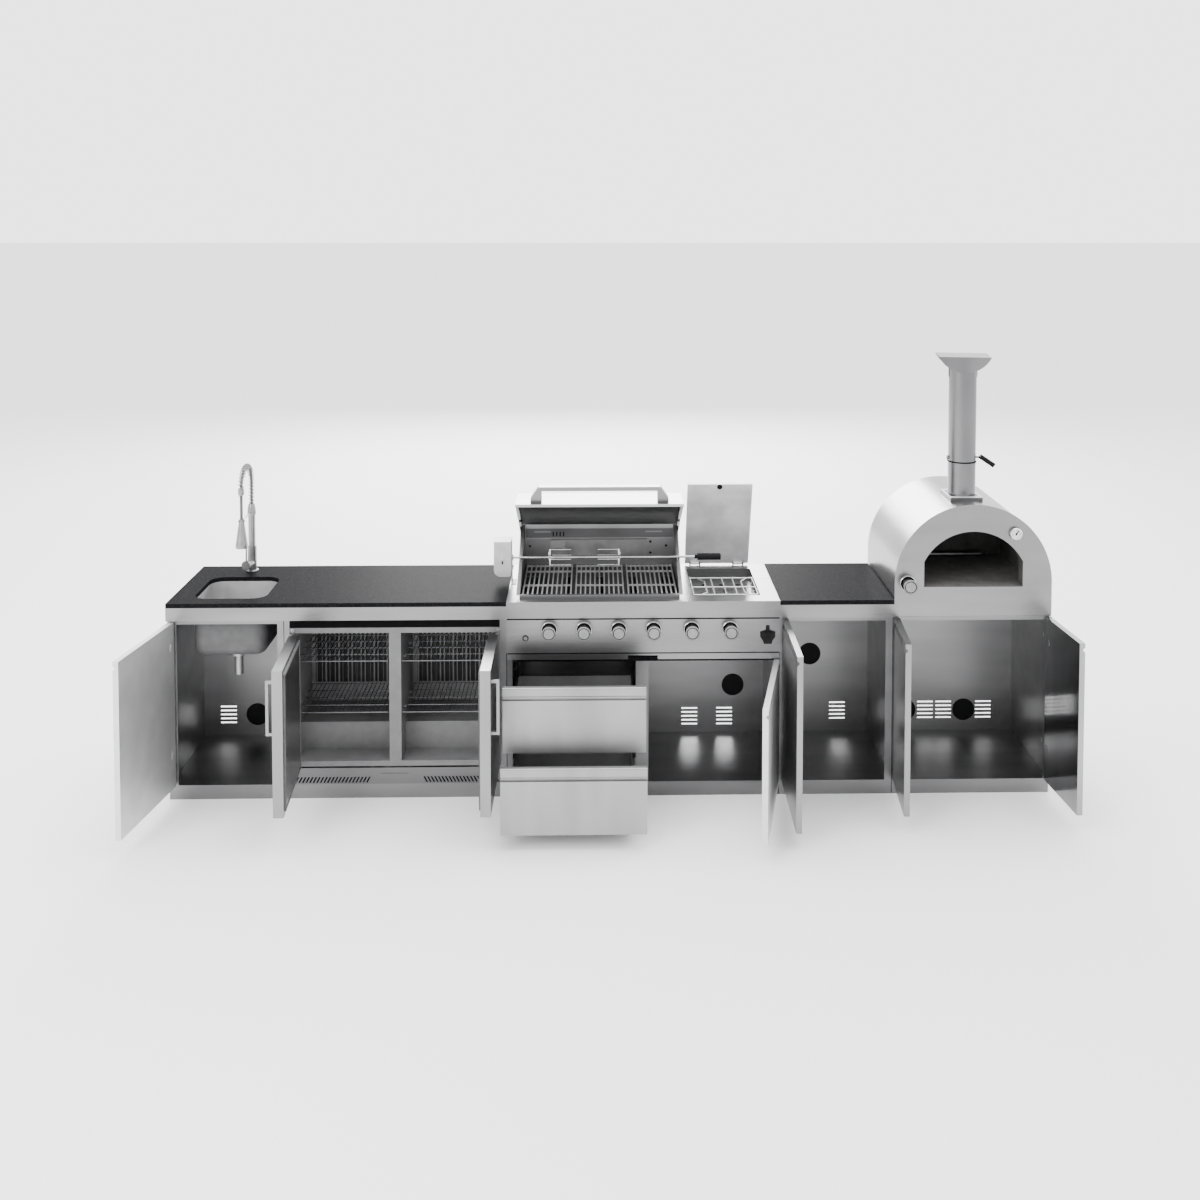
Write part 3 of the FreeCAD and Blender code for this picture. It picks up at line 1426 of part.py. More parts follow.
def fridge_pins(px, py, hinge_left):
    """Pivot brackets at the top and bottom of a fridge door, fixed to the case and to the kick panel."""
    pieces = []
    z0, z1 = fridge_leaf_low, fridge_leaf_high
    x = (px - 6, px + 8)
    for z, up in ((z0, 1), (z1, -1)):
        plate_z = (z - 3.6, z - 0.6) if up == 1 else (z + 0.6, z + 3.6)
        plate = box(x, (py - 5, 0), plate_z)
        tab_z = (plate_z[0] - 14, plate_z[0]) if up == 1 else (plate_z[1], plate_z[1] + 9)
        tab = box(x, (-3, 0), tab_z)
        pin = rod((px, py, plate_z[0] if up == 1 else plate_z[1]), (px, py, z + up * 11), pin_r)
        pieces.append(fuse([plate, tab, pin]))
    return pieces


def hang_fridge(side, x0, x1, hinge_left, opened):
    pieces, (px, py) = fridge_leaf(x0, x1, hinge_left)
    turn = -opened if hinge_left else opened
    keep("fridge_door_" + side, turned(pieces, (px, py, 0), (0, 0, 1), turn))
    keep("fridge_gasket_" + side, turned(gasket(x0, x1), (px, py, 0), (0, 0, 1), turn))
    keep("cabinet_hardware", fridge_pins(px, py, hinge_left))


fridge_mid = fridge_x + fridge_leaf_x[0] + fridge_left_w
hang_fridge("left", fridge_x + fridge_leaf_x[0], fridge_mid, True, fridge_left_open)
hang_fridge("right", fridge_mid + leaf_gap, fridge_x + fridge_leaf_x[1], False, fridge_right_open)


# Pizza oven

oven_mid = oven_x + arch_w / 2
shell_y = -overhang_front


def arch_face(half, axis_z, low, y):
    """An upright arch: a half circle standing on straight sides."""
    edges = [
        Part.makeLine(V(oven_mid - half, y, low), V(oven_mid + half, y, low)),
        Part.makeLine(V(oven_mid + half, y, low), V(oven_mid + half, y, axis_z)),
        Part.Arc(V(oven_mid + half, y, axis_z), V(oven_mid, y, axis_z + half), V(oven_mid - half, y, axis_z)).toShape(),
        Part.makeLine(V(oven_mid - half, y, axis_z), V(oven_mid - half, y, low)),
    ]
    return Part.Face(Part.Wire(edges))


def arch_block(half, axis_z, low, y0, y1):
    return arch_face(half, axis_z, low, y0).extrude(V(0, y1 - y0, 0))


def mouth_block(grow, y0, y1):
    """The mouth's outline as a solid: a flat sill, straight sides and a round top."""
    half = mouth_w / 2 + grow
    radius = mouth_arc_r + grow
    low = mouth_low
    side = low + math.sqrt(radius ** 2 - half ** 2)
    edges = [
        Part.makeLine(V(oven_mid - half, y0, low), V(oven_mid + half, y0, low)),
        Part.makeLine(V(oven_mid + half, y0, low), V(oven_mid + half, y0, side)),
        Part.Arc(V(oven_mid + half, y0, side), V(oven_mid, y0, low + radius), V(oven_mid - half, y0, side)).toShape(),
        Part.makeLine(V(oven_mid - half, y0, side), V(oven_mid - half, y0, low)),
    ]
    return Part.Face(Part.Wire(edges)).extrude(V(0, y1 - y0, 0))


def oven_front():
    plate = arch_block(arch_w / 2, arch_axis_z, carcass_h + 4, shell_y, shell_y + 3)
    mouth = mouth_block(0, shell_y - 1, shell_y + 4)
    stem_hole = rod((oven_knob_at[0], shell_y - 1, oven_knob_at[1]), (oven_knob_at[0], shell_y + 4, oven_knob_at[1]), 9)
    return plate.cut([mouth, stem_hole])


def oven_shell():
    outer = arch_block(arch_w / 2 - 4, arch_axis_z, carcass_h, shell_y + 3, shell_back)
    inner = arch_block(arch_w / 2 - 6, arch_axis_z, carcass_h + 2, shell_y + 2, shell_back - 2)
    flue = rod((oven_x + flue_x, flue_y, 1300), (oven_x + flue_x, flue_y, 1400), flue_r - 2)
    return outer.cut([inner, flue])


def oven_lining():
    low = mouth_low - stone_t
    outer = arch_block(arch_w / 2 - 16, arch_axis_z, low, shell_y + 3, chamber_back + 50)
    chamber = arch_block(chamber_r, mouth_low, mouth_low - stone_t - 1, neck_y, chamber_back)
    throat = mouth_block(0, shell_y + 2, neck_y + 1)
    under = box((oven_mid - mouth_w / 2, oven_mid + mouth_w / 2), (shell_y + 2, neck_y + 1), (low - 1, mouth_low + 1))
    flue = rod((oven_x + flue_x, flue_y, 1200), (oven_x + flue_x, flue_y, 1400), flue_r - 2)
    kx, kz = oven_knob_at
    pocket = box((kx - 15, kx + 15), (shell_y + 2, 18), (kz - 15, kz + 15))
    return outer.cut([chamber, throat, under, flue, pocket])


def oven_tray():
    """The slab under the lining, down to the cabinet's top."""
    low = mouth_low - stone_t
    half = arch_w / 2 - 16
    return box((oven_mid - half, oven_mid + half), (shell_y + 3, chamber_back + 50), (low - 30, low))


def oven_stones():
    z = (mouth_low - stone_t, mouth_low)
    gap = 0.5
    pieces = []
    for left, right in ((oven_mid - chamber_r + gap, oven_mid - gap), (oven_mid + gap, oven_mid + chamber_r - gap)):
        for y in ((neck_y + gap, 280 - gap), (280 + gap, chamber_back - gap)):
            pieces.append(box((left, right), y, z))
    sill = (oven_mid - mouth_w / 2 + gap, oven_mid + mouth_w / 2 - gap)
    pieces.append(box(sill, (shell_y + 4, neck_y - gap), z))
    return pieces


def thermometer():
    x, z = oven_x + 549, 1215.0
    dial = rod((x, shell_y, z), (x, shell_y - 14, z), 25)
    rim = ring(x, z, shell_y - 14, 5, 27.5, 22.5)
    return [dial.fuse(rim).removeSplitter()]


def chimney():
    x, y = oven_x + flue_x, flue_y
    crown = arch_axis_z + arch_w / 2 - 4
    tube = pipe((x, y, crown - 12), (x, y, flue_top), flue_r, flue_r - 1.5)
    saddle = box((x - flange_w / 2, x + flange_w / 2), (y - flange_d / 2, y + flange_d / 2), (crown - 12, crown + 12))
    barrel = rod((oven_mid, y - 200, arch_axis_z), (oven_mid, y + 200, arch_axis_z), arch_w / 2 - 4)
    saddle = saddle.cut([barrel, rod((x, y, crown - 20), (x, y, crown + 20), flue_r)])
    seam = pipe((x, y, 1501), (x, y, 1506), flue_r + 1.2, flue_r)
    cuts = [rod((x - 80, y, damper_z), (x + 80, y, damper_z), 4.06)]
    trimmed = tube.cut([barrel] + cuts)
    collar = pipe((x - flue_r + 1, y, damper_z), (x - flue_r - 7, y, damper_z), 9, 4.06)
    return [trimmed.fuse(collar), saddle, seam] + turned(chimney_cap(x, y), (x, y, 0), (0, 0, 1), cap_turn)


def chimney_cap(x, y):
    half, depth = cap_w / 2, cap_d / 2
    top = box((x - half, x + half), (y - depth, y + depth), (cap_z - 2, cap_z))
    plates = []
    for at in (y - depth, y + depth - 2):
        edges = [
            Part.makeLine(V(x - half, at, cap_z - 2), V(x + half, at, cap_z - 2)),
            Part.Arc(V(x + half, at, cap_z - 2), V(x, at, cap_z - cap_drop), V(x - half, at, cap_z - 2)).toShape(),
        ]
        plates.append(Part.Face(Part.Wire(edges)).extrude(V(0, 2, 0)))
    straps = []
    for dx in (-flue_r - 2, flue_r):
        straps.append(box((x + dx, x + dx + 2), (y - 9, y + 9), (flue_top - 40, cap_z - 2)))
    return [top] + plates + straps


def damper():
    x, y = oven_x + flue_x, flue_y
    shaft = rod((x - flue_r - 5, y, damper_z), (x + flue_r + 27, y, damper_z), 4)
    plate = rod((x, y, damper_z - 1), (x, y, damper_z + 1), flue_r - 4)
    plate.rotate(V(x, y, damper_z), V(1, 0, 0), 25)
    near = (x + flue_r + 22, y, damper_z + 4)
    far = (x + flue_r + 88, y, damper_z - 40)
    return [fuse([shaft, plate]), rod(near, far, 11).cut(shaft)]


keep("oven_front", [oven_front()])
keep("oven_shell", [oven_shell()])
keep("oven_lining", [oven_lining(), oven_tray()])
keep("oven_stones", oven_stones())
keep("oven_thermometer", thermometer())
keep("chimney", chimney())
keep("damper", damper())
keep("knob_bezels", [ring(oven_knob_at[0], oven_knob_at[1], shell_y, bezel_l, bezel_r, 9)])


def oven_valve():
    x, z = oven_knob_at
    y = shell_y
    stem = rod((x, y + 10, z), (x, y - bezel_l - 34, z), stem_r)
    body = box((x - 12, x + 12), (y + 3, y + 40), (z - 12, z + 12))
    return stem.fuse(body).removeSplitter()


keep("oven_knob", [knob(oven_knob_at[0], oven_knob_at[1], shell_y)])
keep("gas_manifold", [oven_valve()])


def oven_burner():
    y = chamber_back - 40
    return rod((oven_mid - 180, y, mouth_low + 13), (oven_mid + 180, y, mouth_low + 13), 13)


keep("burners", [oven_burner()])

os.makedirs("parts", exist_ok=True)
for name, solids in nodes.items():
    shape = solids[0] if len(solids) == 1 else Part.makeCompound(solids)
    shape.exportStep("parts/" + name + ".step")
print(len(nodes), "nodes")
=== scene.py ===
import bpy
import math
from mathutils import Matrix, Vector


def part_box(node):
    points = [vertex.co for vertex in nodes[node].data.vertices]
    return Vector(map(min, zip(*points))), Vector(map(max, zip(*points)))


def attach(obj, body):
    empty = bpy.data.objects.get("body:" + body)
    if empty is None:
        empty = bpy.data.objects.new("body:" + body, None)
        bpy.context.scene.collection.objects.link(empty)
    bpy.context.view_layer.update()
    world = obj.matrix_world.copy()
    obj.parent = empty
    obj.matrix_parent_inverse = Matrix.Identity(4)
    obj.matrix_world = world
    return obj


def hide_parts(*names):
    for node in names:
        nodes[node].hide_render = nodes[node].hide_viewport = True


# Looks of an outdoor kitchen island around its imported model. Blender works in metres; the places and
# sizes given to the functions that make pieces are in millimetres.

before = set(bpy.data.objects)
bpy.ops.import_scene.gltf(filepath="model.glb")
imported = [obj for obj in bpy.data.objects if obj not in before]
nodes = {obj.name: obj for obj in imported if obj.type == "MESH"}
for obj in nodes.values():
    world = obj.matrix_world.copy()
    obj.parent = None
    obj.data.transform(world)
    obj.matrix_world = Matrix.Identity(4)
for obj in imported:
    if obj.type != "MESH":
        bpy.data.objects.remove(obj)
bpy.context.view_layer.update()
bpy.ops.object.select_all(action="DESELECT")


# Camera, at the height and distance of the photograph

camera_place = (-0.0778, -6.0420, 2.7912)
camera_turn = (math.radians(87.192), -0.00089, -0.02077)
camera_lens = 40.399
camera_shift = (-0.0190, -0.2900)


def add_camera():
    """Adds the camera and makes it the scene's own."""
    data = bpy.data.cameras.new("camera")
    data.lens = camera_lens
    data.sensor_width = 36.0
    data.shift_x, data.shift_y = camera_shift
    data.clip_end = 200.0
    camera = bpy.data.objects.new("camera", data)
    camera.location = camera_place
    camera.rotation_euler = camera_turn
    bpy.context.scene.collection.objects.link(camera)
    bpy.context.scene.camera = camera


add_camera()


# Places on the CAD model, in millimetres, and turns in degrees

sink_x = -2012.0
fridge_x = -1487.0
grill_x = -479.0
narrow_x = 765.0
oven_x = 1286.0
worktop_z = 910.0
tap_x, tap_y = -1754.0, 504.0
arch_centre = (409.0, 1347.0)
arch_r = 95.0
spray_y = tap_y - 2 * arch_r
spring_guide_z, ferrule_z, spray_rim_z = 1196.0, 1326.0, 1074.0
bowl_box = ((-1915.2, -1582.8), (48.8, 391.2), (640.8, 889))
back_panel_y = 560.0
fridge_doors_x = (fridge_x + 33, fridge_x + 975)
fridge_doors_z = (148.0, 772.0)
fridge_door_w = 466.0
fridge_door_gap = 4.0
fridge_door_back = -8.0
fridge_door_thick = 44.0
fridge_pin_in = 6.0
fridge_left_turn, fridge_right_turn = -86.2, 89.8
panel_y = -25.0
knob_x = [grill_x + x for x in (194.0, 351.5, 509.5, 667.5, 841.0, 1016.0)]
knob_z = 782.0
knob_out = 64.0
# The last two give where the black rings of painted shade sit, in the bezel's gap and in the knob's groove
bezel_rim_out, bezel_shade_ring_out, knob_groove_shade_out = 9.2, 10.4, 62.8
oven_knob_at = (oven_x + 59, 987.0)
igniter_at = (grill_x + 87, 744.0)
side_burner_at = (knob_x[5] - 5, 175.0, 884.2)
side_tray_z = 867.0
hood_pivot, hood_open = (0, 505, 987), 50.0
lid_pivot, lid_open = (0, 558, 918), 67.0
lid_bumper_at = (523.5, 92.0, 912.4)
dial_at = (oven_x + 549, 1215.0)
flue_at = (1638.0, 168.0)
flange_top_z = 1355.0
flue_joint_z = 1510.0


def metres(*values):
    """Millimetres as a vector in metres."""
    return Vector(values) * 0.001


# The tap's hose comes first, because other pieces follow it

hose_start_z, hose_end_z = 1210.0, 1185.0
hose_radius = 0.007


def hose_route():
    """Control points of the hose: straight up, round a half circle and straight down to the spray head."""
    y, z = arch_centre
    half_step = math.radians(22.5)
    corner = arch_r / math.cos(half_step)
    knee = corner * math.sin(half_step)
    route = [(y + arch_r, hose_start_z), (y + arch_r, z - knee)]
    for turn in (22.5, 67.5, 112.5, 157.5):
        angle = math.radians(turn)
        route.append((y + corner * math.cos(angle), z + corner * math.sin(angle)))
    route += [(y - arch_r, z - knee), (y - arch_r, hose_end_z)]
    return [metres(tap_x, y, z) for y, z in route]


def hose_line(name, thickness=None):
    """A curve along the hose. Its points' radii carry the thickness, so that its box fits the tube."""
    data = bpy.data.curves.new(name, "CURVE")
    data.dimensions = "3D"
    data.resolution_u = 12
    data.bevel_depth = 1.0 if thickness else 0.0
    data.bevel_resolution = 3
    data.use_fill_caps = True
    spline = data.splines.new("NURBS")
    route = hose_route()
    spline.points.add(len(route) - 1)
    for point, place in zip(spline.points, route):
        point.co = (*place, 1.0)
        point.radius = thickness or 1.0
    spline.order_u = 3
    spline.use_endpoint_u = True
    line = bpy.data.objects.new(name, data)
    bpy.context.scene.collection.objects.link(line)
    return line


hose = hose_line("faucet_rubber_hose", hose_radius)
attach(hose, "spout")
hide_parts("faucet_hose")


# Materials

def colour(code):
    """Turns an sRGB hex colour to the linear values that shaders take."""
    linear = []
    for start in (1, 3, 5):
        part = int(code[start:start + 2], 16) / 255
        linear.append(part / 12.92 if part <= 0.04045 else ((part + 0.055) / 1.055) ** 2.4)
    return (*linear, 1.0)


def add(tree, kind, settings=None, values=None, links=None):
    """Adds a shader node with its settings, its socket values and its incoming links."""
    made = tree.nodes.new(kind)
    for key, value in (settings or {}).items():
        setattr(made, key, value)
    for key, value in (values or {}).items():
        made.inputs[key].default_value = value
    for key, source in (links or {}).items():
        tree.links.new(source, made.inputs[key])
    return made


def blank(name):
    """A new material with its node tree, shader and object coordinates."""
    made = bpy.data.materials.new(name)
    made.use_nodes = True
    tree = made.node_tree
    shader = tree.nodes["Principled BSDF"]
    place = add(tree, "ShaderNodeTexCoord").outputs["Object"]
    return made, tree, shader, place


def scaled_noise(tree, place, pitch, detail=2.0, rough=0.5):
    """Noise whose features measure pitch = (x, y, z) metres."""
    scale = tuple(1.0 / size for size in pitch)
    mapped = add(tree, "ShaderNodeMapping", values={"Scale": scale}, links={"Vector": place})
    noise = add(tree, "ShaderNodeTexNoise", values={"Scale": 1.0, "Detail": detail, "Roughness": rough},
                links={"Vector": mapped.outputs["Vector"]})
    return noise.outputs["Fac"]


def ranged(tree, source, low, high, start=0.0, end=1.0):
    """Maps a 0 to 1 value into the range low to high."""
    return add(tree, "ShaderNodeMapRange",
               values={"From Min": start, "From Max": end, "To Min": low, "To Max": high},
               links={"Value": source}).outputs["Result"]


def ramp(tree, source, dark, light, start, end):
    """Turns a value to a colour, from dark at start to light at end."""
    made = add(tree, "ShaderNodeValToRGB", links={"Fac": source})
    made.color_ramp.elements[0].position = start
    made.color_ramp.elements[1].position = end
    made.color_ramp.elements[0].color = colour(dark)
    made.color_ramp.elements[1].color = colour(light)
    return made.outputs["Color"]


# Grain and clouds in metres, drawn out along x, y or z, and the span that most of a noise's values lie in
grain_lengths = {"x": (0.30, 0.0016, 0.0016), "y": (0.0016, 0.30, 0.0016), "z": (0.0016, 0.0016, 0.30)}
cloud_sizes = {"x": (0.55, 0.10, 0.10), "y": (0.10, 0.55, 0.10), "z": (0.10, 0.10, 0.55)}
noise_span = (0.3, 0.7)
paint_clouds = (0.05, 0.05, 0.05)
blasted_grain = (0.002, 0.002, 0.002)


def tint(tree, shader, cloud, dark, light, grain, rough):
    """Colours a shader from dark to light by one noise, and sets its roughness by another."""
    tree.links.new(ramp(tree, cloud, dark, light, *noise_span), shader.inputs["Base Color"])
    tree.links.new(ranged(tree, grain, *rough, *noise_span), shader.inputs["Roughness"])


def emboss(tree, shader, height, strength, depth):
    """Presses a noise into a shader's normal, to a depth in metres."""
    relief = add(tree, "ShaderNodeBump", values={"Strength": strength, "Distance": depth},
                 links={"Height": height})
    tree.links.new(relief.outputs["Normal"], shader.inputs["Normal"])


def brushed_steel(name, along, dark, light, rough=(0.27, 0.32), bump=0.03):
    """AISI 304 sheet with a brushed face: a soft, streaked reflection drawn out across the grain.
    The real scratches are 0.05 mm wide and are drawn 1.6 mm wide, so that they show."""
    made, tree, shader, place = blank(name)
    grain = scaled_noise(tree, place, grain_lengths[along], detail=3.0)
    cloud = scaled_noise(tree, place, cloud_sizes[along], detail=1.0)
    tint(tree, shader, cloud, dark, light, grain, rough)
    emboss(tree, shader, grain, bump, 0.0004)
    shader.inputs["Metallic"].default_value = 1.0
    return made


def plain_metal(name, dark, light, rough, size=0.06, bump=0.0):
    """A plated, polished or bead-blasted metal: even, with faint clouding from handling."""
    made, tree, shader, place = blank(name)
    cloud = scaled_noise(tree, place, (size, size, size), detail=3.0)
    tint(tree, shader, cloud, dark, light, cloud, rough)
    shader.inputs["Metallic"].default_value = 1.0
    if bump:
        fine = scaled_noise(tree, place, blasted_grain, detail=2.0)
        emboss(tree, shader, fine, bump, 0.0003)
    return made


def surface(name, dark, light, rough, grit, bump, coat=0.0, gloss=0.5):
    """Plastic, rubber, paint or fired clay: clouded colour with a fine grit in its relief."""
    made, tree, shader, place = blank(name)
    cloud = scaled_noise(tree, place, paint_clouds, detail=4.0)
    fine = scaled_noise(tree, place, (grit, grit, grit), detail=3.0)
    tint(tree, shader, cloud, dark, light, fine, rough)
    emboss(tree, shader, fine, bump, 0.0005)
    shader.inputs["Coat Weight"].default_value = coat
    shader.inputs["Specular IOR Level"].default_value = gloss
    return made


def black_granite():
    """Polished black granite: near black crystals about 4.5 mm across, with paler flecks."""
    made, tree, shader, place = blank("polished_black_granite")
    per_metre, fleck = 220.0, 0.006
    mapped = add(tree, "ShaderNodeMapping", values={"Scale": (per_metre, per_metre, per_metre)},
                 links={"Vector": place})
    crystals = add(tree, "ShaderNodeTexVoronoi", values={"Scale": 1.0},
                   links={"Vector": mapped.outputs["Vector"]})
    flecks = scaled_noise(tree, place, (fleck, fleck, fleck), detail=6.0, rough=0.7)
    ground = ramp(tree, crystals.outputs["Color"], "#0C0C0D", "#1E1E20", 0.2, 0.9)
    light = add(tree, "ShaderNodeMix", {"data_type": "RGBA"},
                links={"Factor": ranged(tree, flecks, 0.0, 0.8, 0.60, 0.72), "A": ground})
    light.inputs["B"].default_value = colour("#545456")
    tree.links.new(light.outputs["Result"], shader.inputs["Base Color"])
    tree.links.new(ranged(tree, flecks, 0.34, 0.48, *noise_span), shader.inputs["Roughness"])
    shader.inputs["Specular IOR Level"].default_value = 0.005
    emboss(tree, shader, flecks, 0.12, 0.0006)
    return made


# Sheet steel, by place
steel_x = brushed_steel("brushed_304_steel_along_x", "x", "#7B7B7C", "#868687")
steel_y = brushed_steel("brushed_304_steel_along_y", "y", "#828283", "#8D8D8E")
steel_z = brushed_steel("brushed_304_steel_upright", "z", "#828283", "#8D8D8E")
flue_steel = brushed_steel("brushed_304_steel_flue", "z", "#68686A", "#7C7C7D")
# A darker copy of the sheet: painted shade for the low grille under the fridge
shaded_low_steel = brushed_steel("brushed_304_steel_skirt_painted_shade", "x", "#666667", "#717172", (0.30, 0.36))
drawer_steel = brushed_steel("brushed_304_steel_drawer", "z", "#929293", "#9E9E9F", (0.40, 0.46))
pale_steel = brushed_steel("number_four_polished_steel", "x", "#D6D6D7", "#E0E0E1", (0.50, 0.56), 0.02)
inner_steel = brushed_steel("mill_finish_steel_inside", "x", "#767677", "#828283", (0.32, 0.38), 0.02)
dark_inner_steel = brushed_steel("mill_finish_steel_in_shade", "x", "#686869", "#747475", (0.32, 0.38), 0.02)
mirror_steel = brushed_steel("bright_annealed_steel_door", "z", "#8C8C8D", "#9A9A9B", (0.10, 0.15), 0.01)
# A darker copy of the sheet: on the back wall's band it is painted shade of the wall's upper recess; on the
# flame tamers it is only a darker tone
band_steel = brushed_steel("darker_steel_and_back_wall_painted_shade", "x", "#4C4C4D", "#585859", (0.30, 0.36), 0.02)
liner_steel = brushed_steel("heat_dulled_steel", "x", "#6C6C6D", "#7A7A7B", (0.34, 0.40), 0.02)
clouded_steel = plain_metal("cold_rolled_steel_with_soft_clouds", "#DEDEDF", "#FCFCFD", (0.44, 0.50), 0.10)

# Turned, drawn, cast and plated metal
tap_steel = plain_metal("satin_stainless_tap", "#868687", "#9C9C9D", (0.30, 0.38), 0.05)
knob_steel = plain_metal("satin_stainless_knob", "#7A7A7B", "#8C8C8D", (0.30, 0.38), 0.02)
bowl_steel = plain_metal("satin_deep_drawn_steel", "#B4B4B4", "#C0C0C0", (0.48, 0.56))
rod_steel = plain_metal("electropolished_steel_rod", "#B4B4B4", "#D0D0D0", (0.16, 0.26))
grate_steel = plain_metal("bead_blasted_grate_steel", "#D4D4D4", "#E6E6E6", (0.42, 0.52), 0.02)
wire_steel = plain_metal("nickel_plated_wire", "#58585A", "#707072", (0.30, 0.40), 0.03)
chrome = plain_metal("polished_chrome_plate", "#D8D8D9", "#E6E6E7", (0.06, 0.12))
fire_steel = plain_metal("heat_stained_steel", "#6A6A6A", "#848484", (0.30, 0.46), 0.09, 0.2)
zinc = plain_metal("zinc_plated_steel", "#9A9B9C", "#B2B3B4", (0.28, 0.40), 0.02)

# Stone, plastic, rubber, paint and fired clay
granite = black_granite()
black_nylon = surface("glass_filled_black_nylon", "#060607", "#0E0E0F", (0.50, 0.60), 0.0012, 0.25,
                      gloss=0.15)
black_paint = surface("black_powder_coat", "#0A0A0B", "#131314", (0.48, 0.60), 0.0010, 0.35, gloss=0.2)
dark_fin = surface("black_coated_aluminium_fins", "#161617", "#232324", (0.40, 0.50), 0.0012, 0.1, gloss=0.2)
# Near black used as painted shade in gaps, grooves and holes, and as black sealant at the flue's joint
shade_and_sealant_black = surface("painted_shade_and_black_sealant", "#040405", "#0A0A0B", (0.6, 0.7), 0.0015, 0.2, gloss=0.05)
dial_white = surface("white_enamelled_dial", "#D8D8D8", "#E2E2E2", (0.30, 0.38), 0.0010, 0.05)
grey_abs = surface("light_grey_abs", "#AFAFAF", "#BCBCBC", (0.34, 0.44), 0.0010, 0.15)
liner = surface("grey_moulded_liner", "#626263", "#6C6C6D", (0.42, 0.50), 0.0012, 0.08)
rubber = surface("grey_epdm_rubber", "#4A4A4B", "#5C5C5D", (0.62, 0.74), 0.0010, 0.3)
undercoat = surface("grey_anti_drum_coating", "#4E4E4F", "#5C5C5D", (0.6, 0.7), 0.0025, 0.5)
brick = surface("cordierite_fire_brick", "#504F4E", "#62605E", (0.80, 0.92), 0.0030, 0.6)
fibre = surface("smoked_ceramic_lining", "#302F2F", "#454443", (0.70, 0.86), 0.0040, 0.5)
burner_iron = surface("enamelled_cast_iron", "#0E0E0F", "#1C1C1D", (0.30, 0.42), 0.0016, 0.35, 0.2)

finishes = {
    "sink_cabinet": inner_steel, "fridge_bay": inner_steel, "grill_cabinet": dark_inner_steel,
    "narrow_cabinet": inner_steel, "oven_cabinet": inner_steel, "back_panels": inner_steel,
    "granite_worktops": granite, "worktop_bands": steel_x, "cabinet_hardware": zinc,
    "sink_bowl": bowl_steel, "sink_door": pale_steel, "bottle_opener": black_paint,
    "faucet_post": tap_steel, "faucet_lever": tap_steel, "faucet_spring": tap_steel,
    "faucet_hose": rubber, "faucet_spray_head": tap_steel,
    "fridge_case": liner, "fridge_shelves": wire_steel, "fridge_compressor": black_paint,
    "fridge_kick_grille": shaded_low_steel, "drawer_top": drawer_steel, "drawer_bottom": drawer_steel,
    "gas_manifold": zinc, "cooking_grates": grate_steel, "flame_tamers": band_steel,
    "burners": fire_steel, "firebox": steel_x, "grill_deck": steel_x, "control_panel": steel_x,
    "grease_tray": steel_x, "hood": steel_x, "grill_door": pale_steel, "knob_bezels": knob_steel,
    "igniter_button": knob_steel, "rotisserie_motor": grey_abs, "rotisserie_spit": rod_steel,
    "spit_handle": black_nylon, "side_burner_lid": clouded_steel,
    "oven_front": steel_x, "oven_shell": steel_y, "oven_lining": fibre, "oven_stones": brick,
    "oven_door_right": mirror_steel, "oven_thermometer": chrome, "oven_knob": knob_steel,
    "chimney": flue_steel, "damper": black_nylon,
}


def finish_of(name):
    """The finish of a piece of the CAD model: its own, or else the one that its name calls for."""
    if name in finishes:
        return finishes[name]
    if "knob" in name:
        return knob_steel
    if "gasket" in name:
        return rubber
    return steel_z


for name, node in nodes.items():
    for slot in node.material_slots:
        slot.material = finish_of(name)
hose.data.materials.append(rubber)


# Ways of making pieces, as by hand

front, up, down = (0, -1, 0), (0, 0, 1), (0, 0, -1)
smooth_below = math.radians(35)


def only(piece):
    """Selects one piece and makes it the active one."""
    bpy.ops.object.select_all(action="DESELECT")
    piece.select_set(True)
    bpy.context.view_layer.objects.active = piece


def settle(piece, place=None):
    """Sets a piece in its place and puts that place into its mesh."""
    if place is not None:
        piece.matrix_world = place
    only(piece)
    bpy.ops.object.transform_apply(location=True, rotation=True, scale=True)
    return piece


def pick_faces(piece, test):
    """Goes into edit mode with the faces selected whose centre and normal pass the test."""
    only(piece)
    bpy.ops.object.mode_set(mode="EDIT")
    bpy.ops.mesh.select_mode(type="FACE")
    bpy.ops.mesh.select_all(action="DESELECT")
    bpy.ops.object.mode_set(mode="OBJECT")
    for face in piece.data.polygons:
        face.select = test(face.center, face.normal)
    bpy.ops.object.mode_set(mode="EDIT")


def pick_edges(piece, edges):
    """Goes into edit mode with just these edges selected."""
    chosen = {edge.index for edge in edges}
    only(piece)
    bpy.ops.object.mode_set(mode="EDIT")
    bpy.ops.mesh.select_mode(type="EDGE")
    bpy.ops.mesh.select_all(action="DESELECT")
    bpy.ops.object.mode_set(mode="OBJECT")
    for edge in piece.data.edges:
        edge.select = edge.index in chosen
    bpy.ops.object.mode_set(mode="EDIT")


def leave_edit():
    """Goes back to object mode."""
    bpy.ops.object.mode_set(mode="OBJECT")


def cuboid(name, x, y, z):
    """A sharp-edged block between pairs of millimetres."""
    low, high = metres(x[0], y[0], z[0]), metres(x[1], y[1], z[1])
    bpy.ops.object.select_all(action="DESELECT")
    bpy.ops.mesh.primitive_cube_add(size=1.0, location=(low + high) / 2)
    piece = bpy.context.active_object
    piece.name = name
    piece.scale = high - low
    return settle(piece)


def block(name, x, y, z, edge=0.6, steps=2):
    """A block between pairs of millimetres, with its edges rounded."""
    piece = cuboid(name, x, y, z)
    pick_faces(piece, lambda centre, normal: True)
    bpy.ops.mesh.bevel(offset=edge * 0.001, segments=steps, affect="EDGES")
    leave_edit()
    return piece


